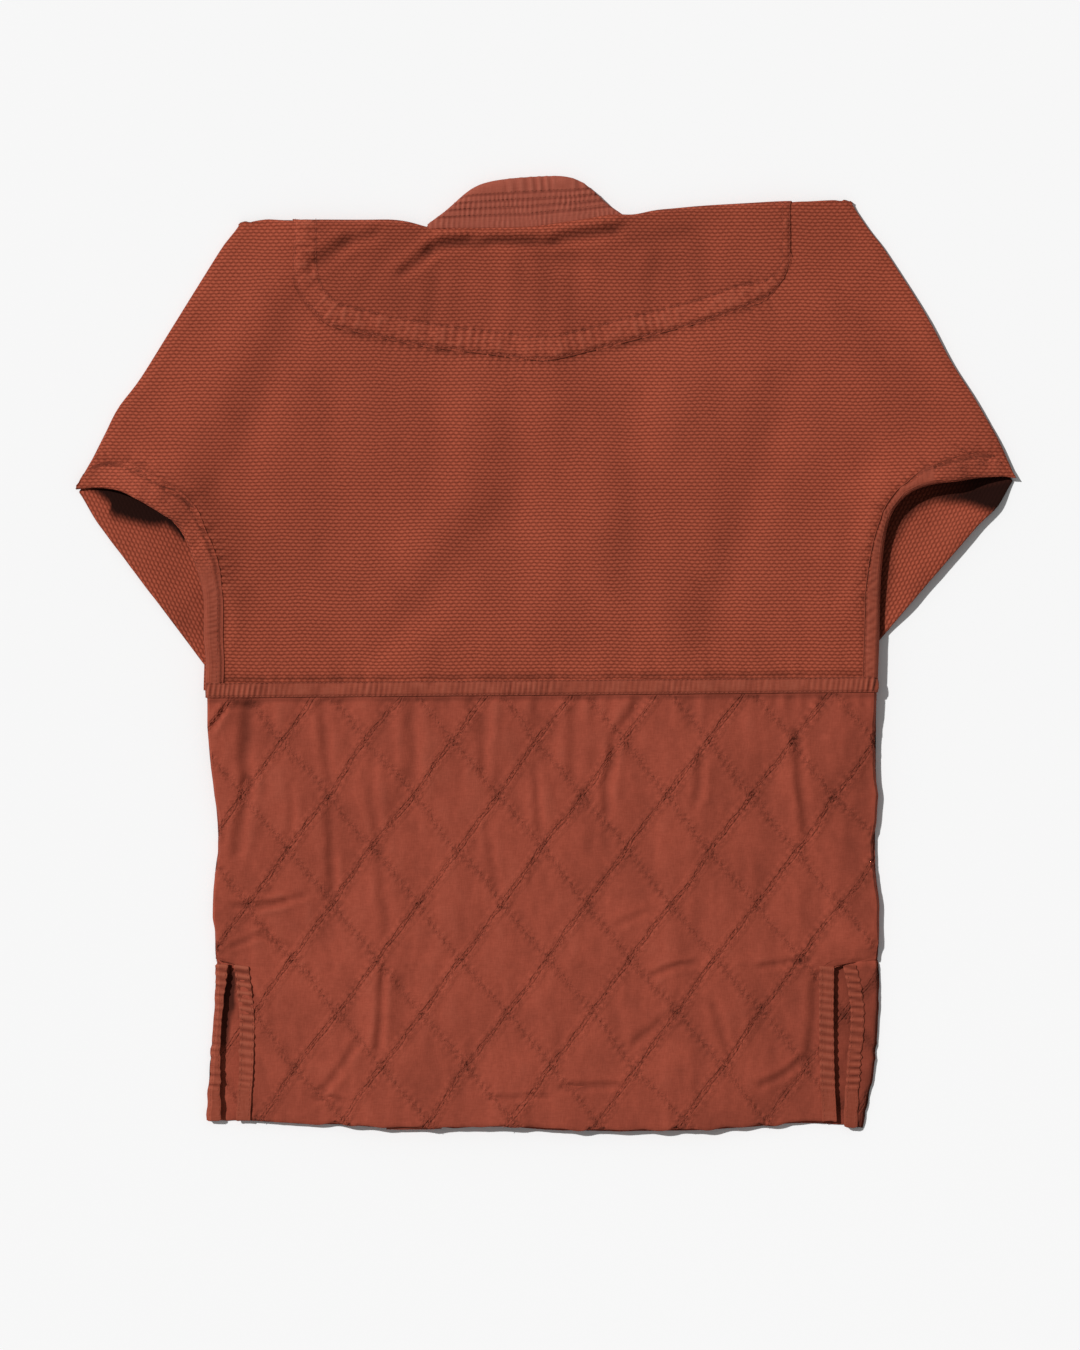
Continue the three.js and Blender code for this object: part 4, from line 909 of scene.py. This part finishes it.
def skirtShape(x, y):
    below = -aboveWaist(x, y)
    calm = step(below, 6.0, 13.0)
    lift = 0.3 * softNoise(x, y, 7, 16, 75) + 0.2 * softNoise(x, y, 4.5, 6, 76)
    gather = skirt["gather"] * softNoise(x, y, 7.5, 45, 77) * hump(below, 36.0)
    wearAndShade = 0.3 * lift + 0.15 * gather + 0.12 * skirtFolds(x, y)
    # the wearer's right side and the hem lie a little in shade
    wearAndShade -= 0.05 * step(x, -50, 150) + 0.08 * step(x, 150, 300) + 0.06 * step(-y, 250, 430)
    lift += gather
    for sign, share in [(1, 1.0), (-1, 0.85)]:
        off, run, number = nearestSewn(x, y, sign)
        near = hump(off, 6.0)
        shifted = run + 31 * number + 0.3 * skirt["crinklePitch"] * np.sign(off)
        ripple = puckers(shifted, skirt["crinklePitch"], 73 - sign) * near
        lift += share * (skirt["crinkle"] * ripple - skirt["grooveDepth"] * hump(off, 2.6))
        wearAndShade += share * (0.25 * ripple - 0.08 * near)
    # painted shadow: a dark line on the skirt just below the waist tape
    dark = hump(below - waistTape["halfWidth"] - 1.0, 2.5)
    return lift * calm, wearAndShade * calm - skirt["dark"] * dark


def frontSkirtShape(x, y):
    lift = 0.45 * softNoise(x, y, 8, 9, 81)
    for sign in (1, -1):
        lift -= 0.4 * hump(nearestSewn(x, y, sign)[0], 2.6)
    # painted shade: the hollow at the top of the wearer's left vent is coloured near black
    left, right = (np.interp(y, skirt["hollowAt"], side) for side in skirt["hollow"])
    ventHollowShade = step(x - left, -1.2, 1.2) * (1 - step(x - right, -1.2, 1.2)) * step(y, -366, -358)
    ventHollowShade *= 1 - step(y, -287, -284)
    # painted shade: the front skirt in the wearer's right vent is darker
    turned = step(x, 252, 262) * step(-y, 282, 292)
    return lift, 0.4 * lift - ventHollowShade * (0.85 + 0.3 * step(y, -345, -310)) - skirt["dark"] * turned


def frontSkirtThrough(x, y, z):
    edgeWave = 0.8 * softNoise(y, y * 0, 6, 1.0, 66) * step(np.abs(x), 262.0, 285.0) * step(-y, 288, 300)
    return together(x, sideDraw(x, y) + edgeWave, np.interp(x, *skirt["hemDraw"]) * step(-y, 390.0, 425.0), 0)


def ventTapeThrough(x, y, z):
    return frontSkirtThrough(x, y, z) - together(x, 0, 0, ventTape["sunk"])


sleeve = {
    # painted shade in the hollow beside the underarm: its width at places along the side tape's run
    "leftHollow": ([0, 10, 22, 30, 40, 48, 60, 80, 93, 105, 118, 124],
                   [5, 8, 11, 17, 25, 28, 25, 20, 12, 6, 4, 0]),
    "rightHollow": ([0, 5, 30, 55, 75, 110, 150, 200, 260], [22, 34, 36, 24, 19, 19, 16, 10, 6]),
    "hollowSoft": (9.0, 4.0),        # how far its edge blurs inwards and outwards
    # how dark the painted shade is right beside the underarm, at places along the run
    "inShade": {"left": ([0, 90], [1.0, 1.0]), "right": ([40, 90], [0.92, 0.55])},
}


def sleeveShape(edge):
    def shape(x, y):
        lift = 0.6 * softNoise(x, y, 34, 26, 91) + 0.25 * softNoise(x, y, 10, 12, 92)
        run, side = alongLine(x, y, sideTapes[edge])
        width = np.interp(run, *sleeve[edge + "Hollow"]) + 1.5 * softNoise(x, y, 14, 14, 93)
        soft = sleeve["hollowSoft"]
        thin = np.clip(width / 12.0, 0.2, 1.0)
        # painted shade: the sleeve is coloured dark in the hollow beside the underarm
        hollow = 1 - step(np.abs(side), width - soft[0] * thin, width + soft[1] * thin)
        hollow *= step(width, 0.5, 3.0)
        deep = np.interp(run, *sleeve["inShade"][edge])
        return lift, 0.2 * lift * (1 - hollow) - hollow * (deep + (1 - deep) * step(np.abs(side), 8.0, 16.0))
    return shape


def sleeveThrough(x, y, z):
    moveX, moveY = x * 0, x * 0
    for (fromX, fromY), (toX, toY) in folded["corners"]:
        near = hump(np.hypot(x - fromX, y - fromY), folded["cornerReach"])
        moveX += (toX - fromX) * near
        moveY += (toY - fromY) * near
    clear = offLine(x, y, sideTapes["right"])
    edge = 1 - step(np.abs(offLine(x, y, folded["sleeveEdge"])), 4.0, 34.0)
    rise = folded["sleeveRise"] * edge * step(clear, 4.0, 30.0) * (x > 250)
    return together(x, moveX, moveY, z * (pressed(x, y) - 1) + rise)


stitch = {"length": 3.2, "thick": 0.6, "spacing": 4.2, "sunk": 0.12}


def sewAlong(bm, one, line, surface, spacing, length):
    # short raised stitches along a line on the cloth
    start, at = 0.0, spacing / 2
    for (x0, y0), (x1, y1) in zip(line, line[1:]):
        run = math.dist((x0, y0), (x1, y1))
        while at < start + run:
            t = (at - start) / run
            at += spacing
            above = Vector(((x0 + (x1 - x0) * t) * metre, (y0 + (y1 - y0) * t) * metre, 0.2))
            spot, normal, index, far = surface.ray_cast(above, Vector((0, 0, -1)))
            if spot is None or normal.z < 0.3:
                continue
            ahead = Vector((x1 - x0, y1 - y0, 0.0))
            ahead = (ahead - normal * ahead.dot(normal)).normalized()
            turn = Matrix((ahead, normal.cross(ahead), normal)).transposed().to_4x4()
            thick = stitch["thick"] / 2 * metre
            size = Matrix.Diagonal((length / 2 * metre, thick, thick, 1.0))
            place = Matrix.Translation(spot + normal * stitch["thick"] * stitch["sunk"] * metre) @ turn @ size
            one.transform(place)
            bm.from_mesh(one)
            one.transform(place.inverted())
        start += run


def sew(name, lines, cloth, material, spacing=stitch["spacing"], length=stitch["length"]):
    surface = treeOf(cloth.data)
    bead = bmesh.new()
    bmesh.ops.create_icosphere(bead, subdivisions=1, radius=1.0)
    one = meshOf(bead, "oneStitch")
    bm = bmesh.new()
    for line in lines:
        sewAlong(bm, one, line, surface, spacing, length)
    mesh = meshOf(bm, name)
    bpy.data.meshes.remove(one)
    mesh.shade_smooth()
    mesh.materials.append(material)
    piece = placed(name, mesh)
    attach(piece, "root")
    print("stitches:", name, len(mesh.polygons) // 20)
    return piece


def edgeRows(cloth, inset):
    # rows a little inside both long edges of an upright tape
    points = pointsOf(cloth.data)
    levels = np.arange(points[:, 1].min() + 4.0, points[:, 1].max() - 3.0, 8.0)
    left, right = [], []
    for y in levels:
        xs = points[np.abs(points[:, 1] - y) < 3.0, 0]
        if len(xs):
            left.append((xs.min() + inset, y))
            right.append((xs.max() - inset, y))
    return [left, right]


def quiltRows(sign, apart):
    # the sewn lines as bent lines over the whole skirt
    alongX, alongY, spacing = quiltSteps(sign)
    unit = alongX * spacing, alongY * spacing
    rows = []
    for number in range(-8, 16):
        middleX = quilting["startX"] + number * spacing * unit[0]
        middleY = quilting["startY"] + number * spacing * unit[1]
        for side in ([-apart, apart] if apart else [0.0]):
            line = []
            for run in range(-700, 701, 6):
                x = middleX - run * unit[1] + side * unit[0]
                y = middleY + run * unit[0] + side * unit[1]
                if -330 < x < 320 and -445 < y < -44:
                    stray = (quiltNumber(np.array([x]), np.array([y]), sign)[0] - number) * spacing - side
                    line.append((x - stray * unit[0], y - stray * unit[1]))
            if len(line) > 2:
                rows.append(line)
    return rows


floor = makeStudio(studio)
floor.data.materials.append(floorPaper("whitePaper"))
print("studio made")

rice = riceWeave("riceGrainCotton", riceLook)
quilted = quiltedCotton("quiltedPlainCotton", skirtLook)
band = plainWeave("bandCottonDrill", bandLook)
tape = plainWeave("cottonTape", tapeLook)
seam = seamCotton("felledSeamCotton", tapeLook, riceLook)
thread = cottonThread("cottonThread", "#954c3a")
darkThread = cottonThread("quiltingThread", "#8a4231")
print("materials made")

backSolid = treeOf(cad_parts["upper_back"].data)
back = dress("upper_back", "upperBackCloth", rice, upperBackShape, bodyThrough, cuts=1)
patch = dress("shoulder_patch", "shoulderPatchCloth", rice, patchShape, patchThrough, cuts=2)
sideTapeLeft = dress("side_tape_left", "sideTapeLeft", seam,
                     sideTapeShape("left", 42), tapeThrough("left"), cuts=3)
sideTapeRight = dress("side_tape_right", "sideTapeRight", seam,
                      sideTapeShape("right", 43), tapeThrough("right"), cuts=3)
for cloth, edge in [(sideTapeLeft, "left"), (sideTapeRight, "right")]:
    points = pointsOf(cloth.data)
    run = alongLine(points[:, 0], points[:, 1], sideTapes[edge])[0]
    keepValues(cloth.data, "grainy", 1 - step(run, *sideTapes[edge + "Grains"]))
waist = dress("waist_tape", "waistTape", tape, waistTapeShape, waistTapeThrough, cuts=2)
collar = dress("neckband", "neckbandCloth", band, neckbandShape, neckbandThrough, cuts=2)
skirtBack = dress("skirt_back", "skirtBackCloth", quilted, skirtShape, skirtThrough,
                  levels=1, cuts=4)
frontSkirts = [
    dress(node, name, quilted, frontSkirtShape, frontSkirtThrough, cuts=2)
    for node, name in [("skirt_front_left", "skirtFrontLeft"), ("skirt_front_right", "skirtFrontRight")]
]
for cloth in [skirtBack] + frontSkirts:
    points = pointsOf(cloth.data)
    keepValues(cloth.data, "risingLine", quiltNumber(points[:, 0], points[:, 1], 1))
    keepValues(cloth.data, "fallingLine", quiltNumber(points[:, 0], points[:, 1], -1))
ventTapes = [
    dress(node, name, tape, ventTapeShape(seed), ventTapeThrough, cuts=3)
    for node, name, seed in [
        ("vent_tape_back_left", "ventTapeBackLeft", 44),
        ("vent_tape_back_right", "ventTapeBackRight", 45),
        ("vent_tape_front_left", "ventTapeFrontLeft", 46),
        ("vent_tape_front_right", "ventTapeFrontRight", 47),
    ]
]
fronts = [
    dress(node, name, rice, through=innerThrough, levels=1)
    for node, name in [("front_left", "frontLeft"), ("front_right", "frontRight")]
]
lapels = [
    dress(node, name, band, levels=1)
    for node, name in [("lapel_left", "lapelLeft"), ("lapel_right", "lapelRight")]
]
sleeves = [
    dress(node, name, rice, sleeveShape(edge), sleeveThrough, cuts=2, turn=turn)
    for node, name, edge, turn in [
        ("sleeve_left", "sleeveLeft", "left", -63.2), ("sleeve_right", "sleeveRight", "right", 61.4),
    ]
]

patchRows = [besideLine(patchOutline, shoulderPatch["rows"][0]),
             besideLine(patchOutline, lambda run: innerRow(run, patchRun))]
patchStitches = sew("patchStitching", patchRows, patch, thread)
collarX = range(-112, 84, 4)
collarBase, collarHigh = (rowHeight(collarX, neckband[line]) for line in ("base", "highRow"))
collarRows = [list(zip(collarX, collarBase + share * (collarHigh - collarBase)))
              for share in neckband["rows"]]
collarStitches = sew("neckbandStitching", collarRows, collar, thread, neckband["spacing"],
                     neckband["stitch"])
inset = sideTapes["width"] - sideTapes["rowInset"]
sideStitches = [
    sew(name, [besideLine(sideTapes[edge], away)], cloth, thread)
    for name, edge, away, cloth in [
        ("sideTapeStitchingLeft", "left", inset, sideTapeLeft),
        ("sideTapeStitchingRight", "right", -inset, sideTapeRight),
    ]
]
waistRows = [besideLine(waistLine, side * waistTape["rowOut"]) for side in (-1, 1)]
waistStitches = sew("waistTapeStitching", waistRows, waist, thread)
ventStitches = [
    sew(cloth.name + "Stitching", edgeRows(cloth, ventTape["rowInset"]), cloth, thread,
        ventTape["spacing"])
    for cloth in ventTapes
]
quiltStitches = [
    sew(name, rows, skirtBack, darkThread, quilting["spacing"], length)
    for name, rows, length in [
        ("quiltingRising", quiltRows(1, quilting["strandApart"]), quilting["stitches"][0]),
        ("quiltingFalling", quiltRows(-1, 0.0), quilting["stitches"][1]),
    ]
]
print("all made")
